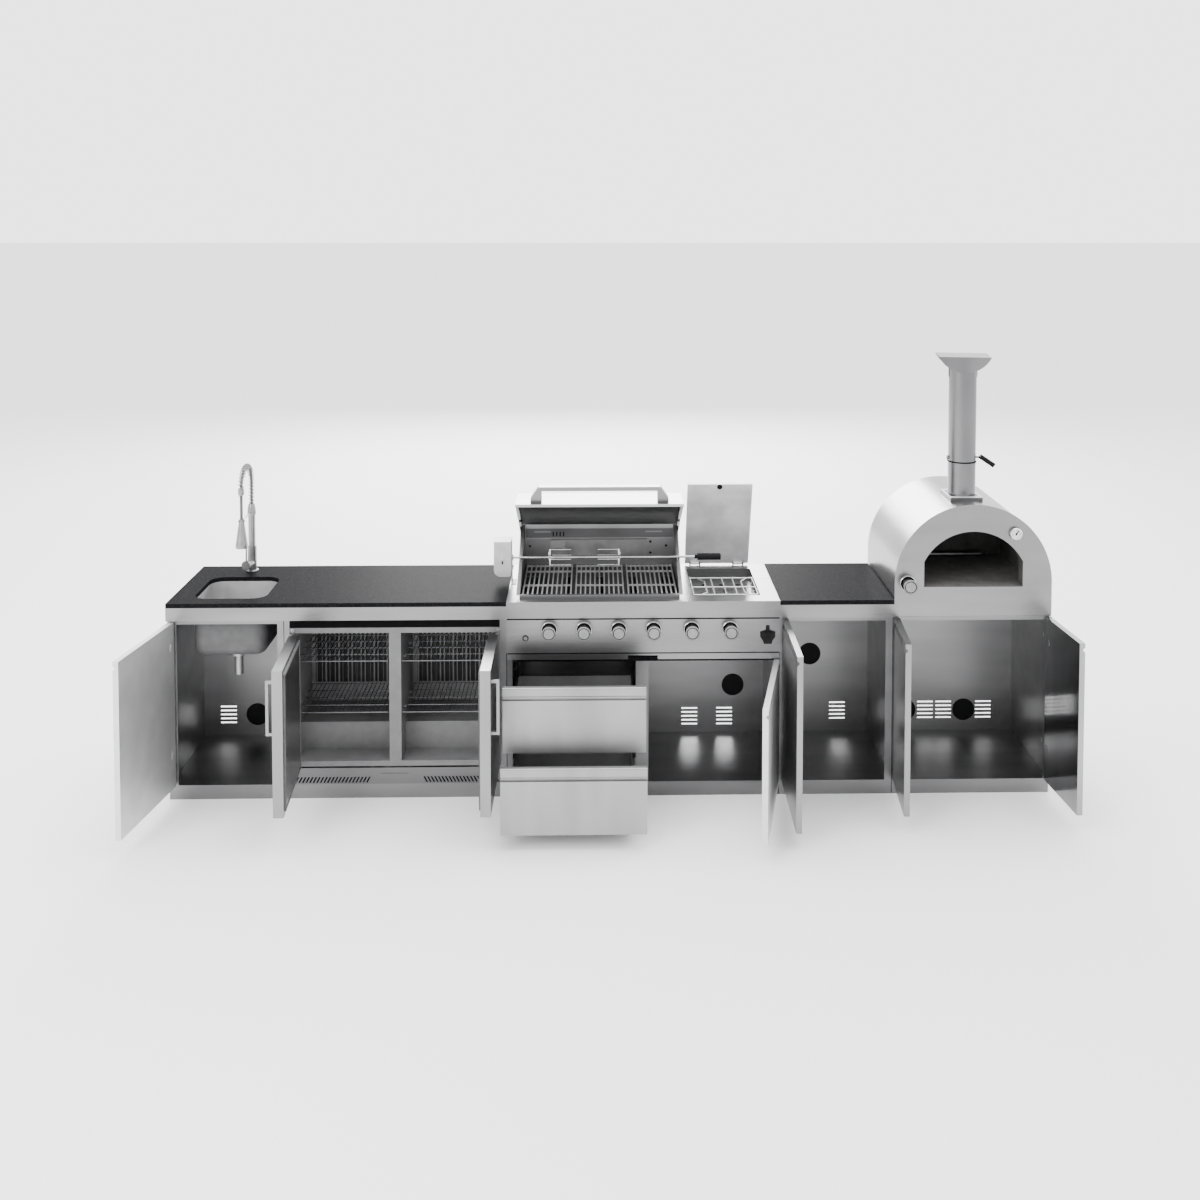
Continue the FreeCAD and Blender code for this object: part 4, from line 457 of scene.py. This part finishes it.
def lathe(name, profile, place, along=up, sides=32):
    """A turned piece: a filled circle extruded and resized through steps of radius and height in mm,
    stood at a place in mm with its axis along a direction."""
    radius, height = profile[0]
    bpy.ops.object.select_all(action="DESELECT")
    bpy.ops.mesh.primitive_circle_add(vertices=sides, radius=radius * 0.001, fill_type="NGON",
                                      location=(0, 0, height * 0.001))
    piece = bpy.context.active_object
    piece.name = name
    settle(piece)
    pick_faces(piece, lambda centre, normal: True)
    for next_radius, next_height in profile[1:]:
        rise = (next_height - height) * 0.001
        bpy.ops.mesh.extrude_region_move(TRANSFORM_OT_translate={"value": (0, 0, rise)})
        grow = next_radius / radius
        bpy.ops.transform.resize(value=(grow, grow, 1), center_override=(0, 0, next_height * 0.001))
        radius, height = next_radius, next_height
    bpy.ops.mesh.select_all(action="SELECT")
    bpy.ops.mesh.normals_make_consistent(inside=False)
    leave_edit()
    turn = Vector(along).to_track_quat("Z", "Y").to_matrix().to_4x4()
    return settle(piece, Matrix.Translation(metres(*place)) @ turn)


def hoop(name, place, radius, thick, along=up, flat=1.0):
    """A ring of round or flattened section, from a torus set with its axis along a direction."""
    bpy.ops.object.select_all(action="DESELECT")
    bpy.ops.mesh.primitive_torus_add(major_radius=radius * 0.001, minor_radius=thick * 0.001,
                                     major_segments=40, minor_segments=10)
    piece = bpy.context.active_object
    piece.name = name
    turn = Vector(along).to_track_quat("Z", "Y").to_matrix().to_4x4()
    return settle(piece, Matrix.Translation(metres(*place)) @ turn @ Matrix.Diagonal((1, 1, flat, 1)))


def again(piece, name, shift):
    """A copy with its own mesh, moved by millimetres."""
    only(piece)
    bpy.ops.object.duplicate_move(OBJECT_OT_duplicate={"linked": False},
                                  TRANSFORM_OT_translate={"value": metres(*shift)})
    copy = bpy.context.active_object
    copy.name = name
    return settle(copy)


def swing(piece, pivot, degrees, axis="Z"):
    """Turns a piece about an axis through a pivot in mm."""
    there = Matrix.Translation(metres(*pivot))
    return settle(piece, there @ Matrix.Rotation(math.radians(degrees), 4, axis) @ there.inverted())


def join(pieces, name):
    """Joins pieces into one."""
    bpy.ops.object.select_all(action="DESELECT")
    for piece in pieces:
        piece.select_set(True)
    bpy.context.view_layer.objects.active = pieces[0]
    bpy.ops.object.join()
    whole = bpy.context.active_object
    whole.name = name
    return settle(whole)


def hand_over(piece, material, body="island", replaced=()):
    """Gives a finished piece its material, its smooth shading and the body that it rides on."""
    piece.data.materials.clear()
    piece.data.materials.append(material)
    only(piece)
    bpy.ops.object.shade_smooth_by_angle(angle=smooth_below)
    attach(piece, body)
    if replaced:
        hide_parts(*replaced)
    return piece


# Tap

def tap_spring():
    """The spring round the hose: a wire circle screwed up into turns and bent along the hose's line."""
    turns, pitch = 27, 0.017
    wire_radius, coil_radius, wire_sides = 0.00225, 0.012, 8
    line = hose_line("spring_path")
    bpy.ops.object.select_all(action="DESELECT")
    bpy.ops.mesh.primitive_circle_add(vertices=wire_sides, radius=wire_radius,
                                      location=(coil_radius, 0, 0.003), rotation=(math.pi / 2, 0, 0))
    spring = bpy.context.active_object
    spring.name = "faucet_coil_spring"
    settle(spring)
    screw = spring.modifiers.new("turns", "SCREW")
    screw.axis = "Z"
    screw.screw_offset = pitch
    screw.iterations = turns
    screw.steps = 16
    screw.render_steps = 16
    bend = spring.modifiers.new("arch", "CURVE")
    bend.object = line
    bend.deform_axis = "POS_Z"
    only(spring)
    bpy.ops.object.modifier_apply(modifier="turns")
    bpy.ops.object.modifier_apply(modifier="arch")
    pick_faces(spring, lambda centre, normal: True)
    bpy.ops.mesh.fill_holes(sides=wire_sides)
    bpy.ops.mesh.normals_make_consistent(inside=False)
    leave_edit()
    bpy.data.objects.remove(line)
    hand_over(spring, tap_steel, "spout", ["faucet_spring"])


def bowl_coat():
    """The grey anti-drum coat on the underside of the bowl: a rounded shell just outside the steel."""
    side_round, foot_round, thickness = 0.058, 0.042, 0.0008
    coat = cuboid("sink_bowl_coat", *bowl_box)
    points = coat.data.vertices
    foot_z = min(point.co.z for point in points)
    uprights = [edge for edge in coat.data.edges
                if abs(points[edge.vertices[0]].co.z - points[edge.vertices[1]].co.z) > 0.1]
    pick_edges(coat, uprights)
    bpy.ops.mesh.bevel(offset=side_round, segments=8, affect="EDGES")
    leave_edit()
    foot = [edge for edge in coat.data.edges
            if all(coat.data.vertices[index].co.z < foot_z + 0.001 for index in edge.vertices)]
    pick_edges(coat, foot)
    bpy.ops.mesh.bevel(offset=foot_round, segments=6, affect="EDGES")
    leave_edit()
    pick_faces(coat, lambda centre, normal: normal.z > 0.9)
    bpy.ops.mesh.delete(type="FACE")
    leave_edit()
    wall = coat.modifiers.new("wall", "SOLIDIFY")
    wall.thickness = thickness
    wall.offset = 1.0
    only(coat)
    bpy.ops.object.modifier_apply(modifier="wall")
    hand_over(coat, undercoat)


def tap_details():
    """The flange on the worktop, the spring's guide, the hose's ferrule and the spray head's black rim."""
    flange = lathe("faucet_flange", [(29, 0), (31, 0.8), (31, 3), (28.5, 6.5), (22.5, 8)],
                   (tap_x, tap_y, worktop_z), sides=48)
    hand_over(flange, tap_steel, "spout")
    sleeve = [(17.2, 0), (17.2, 2), (19.5, 4), (19.5, 16), (15.5, 38), (13.5, 44), (9, 45)]
    guide = lathe("faucet_spring_guide", sleeve, (tap_x, tap_y, spring_guide_z), sides=40)
    hand_over(guide, tap_steel, "spout")
    ferrule = lathe("faucet_hose_ferrule", [(8, 0), (13.5, 1), (14.5, 5), (14.5, 26), (13, 30), (8, 31)],
                    (tap_x, spray_y, ferrule_z), sides=40)
    hand_over(ferrule, tap_steel, "spout")
    rim = hoop("faucet_spray_rim", (tap_x, spray_y, spray_rim_z), 26.5, 1.6)
    hand_over(rim, black_nylon, "spout")


# Cabinets

def hole_cap(name, x, z):
    """A black moulded cap that closes a service hole in the back panel."""
    profile = [(50, 0), (50.5, 1.5), (54, 1.8), (55, 3.2), (53.5, 4.8), (47, 5), (46, 3.4), (6, 3.2)]
    cap = lathe(name, profile, (x, back_panel_y + 0.2, z), front, 48)
    hand_over(cap, black_nylon)


def screw_head(name, place, along=front, radius=4.0):
    """A pan head with a small dimple in its middle, for the driver's recess."""
    profile = [(radius, 0), (radius, 0.6), (radius * 0.86, 1.7), (radius * 0.55, 2.3),
               (radius * 0.28, 2.4), (radius * 0.2, 1.4)]
    return lathe(name, profile, place, along, 14)


def screws(name, places, material, along=front, radius=4.0):
    """Screw heads at several places, joined into one piece."""
    first = screw_head(name, places[0], along, radius)
    heads = [first]
    for number, place in enumerate(places[1:]):
        shift = [a - b for a, b in zip(place, places[0])]
        heads.append(again(first, name + str(number), shift))
    hand_over(join(heads, name), material)


def strip(name, x, y, z, body="island"):
    """A black strip of painted shade, for the shade in a seam or behind a notch between two sheets."""
    hand_over(block(name, x, y, z, 0.4, 1), shade_and_sealant_black, body)


def painted_shade_gaps():
    """Black strips of painted shade for the dark gaps round the grill's sheets and between the modules."""
    left, right = grill_x, narrow_x
    strip("painted_shade_deck_front", (left + 3, right - 3), (panel_y - 0.4, panel_y + 1), (827, 833.5))
    strip("painted_shade_under_panel", (left + 5, right - 5), (panel_y - 0.2, panel_y + 6), (669.5, 675))
    strip("painted_shade_under_tray", (left + 26, right - 10), (-0.9, 0.6), (627, 642.4))
    strip("painted_shade_tray_notch", (left + 551.6, left + 687.4), (-8.7, -8.1), (643.3, 661), "tray")
    for number, x in enumerate((fridge_x, grill_x, narrow_x, oven_x)):
        strip("painted_shade_module_" + str(number), (x - 1.6, x + 1.6), (-0.4, 1), (4, 828))


def fridge_seal(side, x, pin_x, turn):
    """A door's magnetic seal: a soft profile round the opening, with a bellows groove along its face."""
    inset, depth = 20, 7.5
    profile_width, groove_edge, groove_depth, fold_edge, fold_height = 0.014, 0.0042, 0.0015, 0.0008, 0.0012
    low, high = fridge_doors_z
    seal = cuboid("fridge_seal_" + side, (x[0] + inset, x[1] - inset),
                  (fridge_door_back, fridge_door_back + depth), (low + inset, high - inset))
    pick_faces(seal, lambda centre, normal: abs(normal.y) > 0.9)
    bpy.ops.mesh.inset(thickness=profile_width)
    bpy.ops.mesh.bridge_edge_loops()
    leave_edit()
    pick_faces(seal, lambda centre, normal: normal.y > 0.9)
    bpy.ops.mesh.inset(thickness=groove_edge, depth=-groove_depth)
    bpy.ops.mesh.inset(thickness=fold_edge, depth=fold_height)
    leave_edit()
    swing(seal, (pin_x, fridge_door_back - fridge_door_thick + fridge_pin_in, 0), turn)
    hand_over(seal, rubber, "fridge_leaf_" + side, ["fridge_gasket_" + side])


def fridge_seals():
    """The seals of both doors, each turned about its door's pin to the open pose."""
    left, right = fridge_doors_x
    middle = left + fridge_door_w
    fridge_seal("left", (left, middle), left + fridge_pin_in, fridge_left_turn)
    fridge_seal("right", (middle + fridge_door_gap, right), right - fridge_pin_in, fridge_right_turn)


def fridge_coils():
    """Upright fins of the cooler behind the shelves: one fin, repeated by an array along each bay."""
    pitch = 15.5
    for side, x0, x1 in (("left", fridge_x + 70, fridge_x + 440), ("right", fridge_x + 560, fridge_x + 930)):
        fin = block("fridge_cooler_fins_" + side, (x0, x0 + 5), (384, 391), (398, 626), 1.0, 1)
        row = fin.modifiers.new("row", "ARRAY")
        row.use_relative_offset = False
        row.use_constant_offset = True
        row.constant_offset_displace = metres(pitch, 0, 0)
        row.count = int((x1 - x0) / pitch)
        only(fin)
        bpy.ops.object.modifier_apply(modifier="row")
        hand_over(fin, dark_fin)
    for side, x0, x1 in (("left", fridge_x + 60, fridge_x + 452), ("right", fridge_x + 550, fridge_x + 942)):
        plate = block("fridge_cooler_plate_" + side, (x0, x1), (390.6, 391.8), (394, 634), 0.4, 1)
        hand_over(plate, dark_fin)


def fridge_shade_sheets():
    """Black sheets of painted shade: one in the gap over the fridge and one behind its grille, so that both
    read dark.
    """
    x = (fridge_x + 30, fridge_x + 972)
    gap = block("fridge_gap_shade_sheet", x, (0.4, 25.5), (788.4, 828.6), 0.4, 1)
    hand_over(gap, shade_and_sealant_black)
    kick = block("fridge_grille_shade_sheet", x, (2.6, 3.4), (66, 137.5), 0.3, 1)
    hand_over(kick, shade_and_sealant_black)


def cabinets():
    """The small pieces of the cabinets and of the fridge."""
    hole_cap("hole_cap_sink", sink_x + 261, 171)
    hole_cap("hole_cap_grill", grill_x + 1089, 305)
    hole_cap("hole_cap_narrow", narrow_x + 229, 459)
    hole_cap("hole_cap_oven_left", oven_x + 188, 171)
    hole_cap("hole_cap_oven_right", oven_x + 484, 170)
    painted_shade_gaps()
    fridge_seals()
    fridge_coils()
    fridge_shade_sheets()


# Grill

def burner_cap():
    """The cast cap in the middle of the side burner."""
    profile = [(46.5, 0), (47.5, 1.5), (47.5, 6), (45, 8.5), (24, 9.5), (22, 8), (8, 7.6)]
    cap = lathe("side_burner_cap", profile, side_burner_at, sides=48)
    hand_over(cap, burner_iron)


def recess_holes():
    """Three dark vents pressed in the floor of the side burner's tray."""
    profile = [(11, 0), (12, 0.4), (12, 1.0), (10.5, 1.6), (6, 1.2)]
    for number, x in enumerate((449, 532, 612)):
        vent = lathe("side_tray_vent_" + str(number), profile, (x, 360, side_tray_z + 0.2), sides=24)
        hand_over(vent, black_paint)


def lid_bumper():
    """The round rubber stop under the lid's free edge, turned with the lid."""
    profile = [(12, 0), (13, 0.8), (13, 4.5), (11.5, 6), (5, 6.4), (4, 5)]
    bumper = lathe("side_lid_bumper", profile, lid_bumper_at, down, 24)
    swing(bumper, lid_pivot, -lid_open, "X")
    hand_over(bumper, black_nylon, "burner_lid")


def motor_lever():
    """A small switch lever on the front of the turning motor."""
    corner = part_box("rotisserie_motor")[0]
    x, y = corner.x * 1000, corner.y * 1000
    boss = lathe("motor_switch_boss", [(9, 0), (9, 2), (7.5, 4), (4, 5)], (x + 40, y + 0.2, 1030), front, 24)
    hand_over(boss, grey_abs)
    arm = block("motor_switch_lever", (x + 37, x + 43), (y - 4, y - 0.5), (1008, 1034), 1.5)
    hand_over(arm, black_nylon)


def knob_rings(name, x, z, panel, body):
    """The bright rim of a knob's bezel, and black rings of painted shade: one in the gap of the bezel and
    one in the groove of the knob's face.
    """
    rim = hoop("bezel_rim_" + name, (x, panel - bezel_rim_out, z), 34.8, 2.8, front)
    hand_over(rim, rod_steel)
    gap = hoop("bezel_shade_ring_" + name, (x, panel - bezel_shade_ring_out, z), 28.5, 3.8, front, 0.2)
    hand_over(gap, shade_and_sealant_black)
    groove = hoop("knob_groove_shade_" + name, (x, panel - knob_groove_shade_out, z), 25, 1.9, front, 0.8)
    hand_over(groove, shade_and_sealant_black, body)


def all_knob_rings():
    """The rings of the seven knobs, and the dark ring of painted shade round the igniter's button."""
    for number, x in enumerate(knob_x):
        body = "knob_" + str(number + 1)
        knob_rings(str(number + 1), x, knob_z, panel_y, body)
    oven_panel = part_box("oven_knob")[0].y * 1000 + knob_out
    knob_rings("oven", *oven_knob_at, oven_panel, "pizza_knob")
    x, z = igniter_at
    ring = hoop("igniter_shade_ring", (x, panel_y - 0.8, z), 11.8, 2.2, front, 0.6)
    hand_over(ring, shade_and_sealant_black)


def back_piece(name, x, y, z, material):
    """A flat piece on the firebox's back wall, placed from the grill's left side."""
    hand_over(block(name, (grill_x + x[0], grill_x + x[1]), y, z, 0.3, 1), material)


def firebox_back():
    """The back wall's sheets: a dull wall, a ledge, a darker band of painted shade with slots over it, and a
    cover plate; black marks of painted shade stand for the holes in them.
    """
    wall_x, slot_y, slot_z = (60, 787), (541.4, 542.3), (1080, 1088)
    back_piece("back_wall_sheet", wall_x, (542.8, 543.4), (912, 1049), liner_steel)
    back_piece("back_wall_ledge", wall_x, (540.6, 543.4), (1049.5, 1055), steel_x)
    back_piece("back_wall_shade_band", wall_x, (542.2, 543.4), (1055.5, 1100), band_steel)
    back_piece("back_wall_slot_left", (102, 184), slot_y, slot_z, liner_steel)
    back_piece("back_wall_slot_right", (651, 735), slot_y, slot_z, liner_steel)
    back_piece("burner_cover_plate", (182, 256), (528.4, 529.4), (994, 1042), steel_x)
    # Black blocks of painted shade stand for the openings of the vents and the holes of the cover plate
    for number, x in enumerate((193, 210, 227, 244)):
        name = "back_wall_vent_shade_" + str(number)
        back_piece(name, (x, x + 6), (541.2, 542.3), (1062, 1084), shade_and_sealant_black)
    for number, x in enumerate((205, 218, 231)):
        name = "cover_plate_hole_shade_" + str(number)
        back_piece(name, (x, x + 6), (527.8, 528.5), (999, 1005), shade_and_sealant_black)
    # Black pan heads of painted shade stand for dark holes in the wall
    places = [(grill_x + x, 542.8, z) for x, z in ((81, 1012), (754, 1013), (676, 1033), (676, 978))]
    screws("back_wall_hole_shades", places, shade_and_sealant_black, front, 6.0)


def hood_lip():
    """The folded edge under the hood's lip, which overlaps the firebox's front when the hood is shut."""
    lip = block("hood_lip_edge", (grill_x + 31, grill_x + 816), (28.2, 29.8), (911.5, 926.8), 0.4, 1)
    swing(lip, hood_pivot, -hood_open, "X")
    hand_over(lip, steel_x, "grill_hood")


def grill():
    """The small pieces of the grill and of the side burner."""
    burner_cap()
    recess_holes()
    lid_bumper()
    motor_lever()
    all_knob_rings()
    firebox_back()
    hood_lip()


# Oven

def dial():
    """The thermometer: a white face inside its rim, ticks round it, a dark pointer and a hub."""
    x, z = dial_at
    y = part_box("oven_thermometer")[0].y * 1000 + 5
    face = lathe("thermometer_face", [(22.1, 0), (22.1, 0.5), (21.6, 0.8), (9, 0.9)], (x, y, z), front, 48)
    hand_over(face, dial_white)
    ticks = []
    for turn in range(-120, 121, 24):
        tick = block("tick", (x - 0.7, x + 0.7), (y - 1.5, y - 0.6), (z + 15, z + 19.5), 0.2, 1)
        ticks.append(swing(tick, (x, y, z), turn, "Y"))
    hand_over(join(ticks, "thermometer_ticks"), black_nylon)
    pointer = block("thermometer_pointer", (x - 2.2, x + 2.2), (y - 2.6, y - 1.8), (z - 7, z + 17), 0.5, 1)
    swing(pointer, (x, y, z), 35, "Y")
    hand_over(pointer, black_nylon)
    hub = lathe("thermometer_hub", [(4.5, 0), (4.5, 2), (3.4, 3.2), (1.2, 3.4)], (x, y - 0.6, z), front, 20)
    hand_over(hub, black_nylon)


def flue_bolts():
    """The four bolts that hold the flue's flange."""
    x, y = flue_at
    places = [(x + dx, y + dy, flange_top_z) for dx in (-66, 66) for dy in (-84, 84)]
    screws("flue_flange_bolts", places, zinc, up, 6.5)


def flue_details():
    """The black sealant at the flue's joint and the bright plate on its flange."""
    x, y = flue_at
    joint = hoop("flue_joint", (x, y, flue_joint_z), 64.6, 3.0)
    hand_over(joint, shade_and_sealant_black)
    hole, half_width, half_depth = 65.5, 74.4, 92
    across, along = (x - hole, x + hole), (y - half_depth, y + half_depth)
    z = (flange_top_z - 0.5, flange_top_z + 0.8)
    sides = [block("flue_flange_top", (x - half_width, x - hole), along, z, 0.3, 1),
             block("side", (x + hole, x + half_width), along, z, 0.3, 1),
             block("side", across, (y - half_depth, y - hole), z, 0.3, 1),
             block("side", across, (y + hole, y + half_depth), z, 0.3, 1)]
    hand_over(join(sides, "flue_flange_top"), pale_steel)


def oven():
    """The small pieces of the oven and of its flue."""
    dial()
    flue_bolts()
    flue_details()


tap_spring()
tap_details()
bowl_coat()
cabinets()
grill()
oven()


# Floor, light and surroundings

def add_floor():
    """A pale floor under the island, for the picture only."""
    bpy.ops.mesh.primitive_plane_add(size=120.0, location=(0, 0, 0))
    floor = bpy.context.active_object
    floor.name = "floor"
    made, _, shader, _ = blank("pale_floor")
    shader.inputs["Base Color"].default_value = colour("#FBFBFB")
    shader.inputs["Roughness"].default_value = 0.9
    floor.data.materials.append(made)


def add_light(name, place, target, size, power):
    """An area light aimed at a target; sizes in metres, power in watts."""
    data = bpy.data.lights.new(name, "AREA")
    data.shape = "RECTANGLE"
    data.size, data.size_y = size
    data.energy = power
    lamp = bpy.data.objects.new(name, data)
    lamp.location = place
    lamp.rotation_euler = (Vector(target) - Vector(place)).to_track_quat("-Z", "Y").to_euler()
    lamp.visible_camera = False
    bpy.context.scene.collection.objects.link(lamp)


def add_surroundings():
    """A white sky, brighter behind the island and dimmer at its left."""
    world = bpy.data.worlds.new("studio")
    bpy.context.scene.world = world
    world.use_nodes = True
    tree = world.node_tree
    background = tree.nodes["Background"]
    background.inputs["Color"].default_value = colour("#FFFFFF")
    place = add(tree, "ShaderNodeTexCoord").outputs["Generated"]
    split = add(tree, "ShaderNodeSeparateXYZ", links={"Vector": place})
    depth = ranged(tree, split.outputs["Y"], 1.5, 3.2, -1.0, 0.5)
    side = ranged(tree, split.outputs["X"], 0.45, 1.0, -1.0, -0.45)
    strength = add(tree, "ShaderNodeMath", {"operation": "MULTIPLY"}, links={0: depth, 1: side})
    tree.links.new(strength.outputs[0], background.inputs["Strength"])


add_floor()
add_surroundings()
add_light("overhead", (0, 0.5, 6.0), (0, 0.3, 0), (8.0, 5.0), 450.0)
add_light("behind", (-0.3, 9.0, 4.4), (-0.3, 0.3, 0.9), (4.8, 3.6), 1100.0)
add_light("front_left", (-5.5, -6.0, 4.5), (0, 0, 0.6), (4.0, 4.0), 500.0)
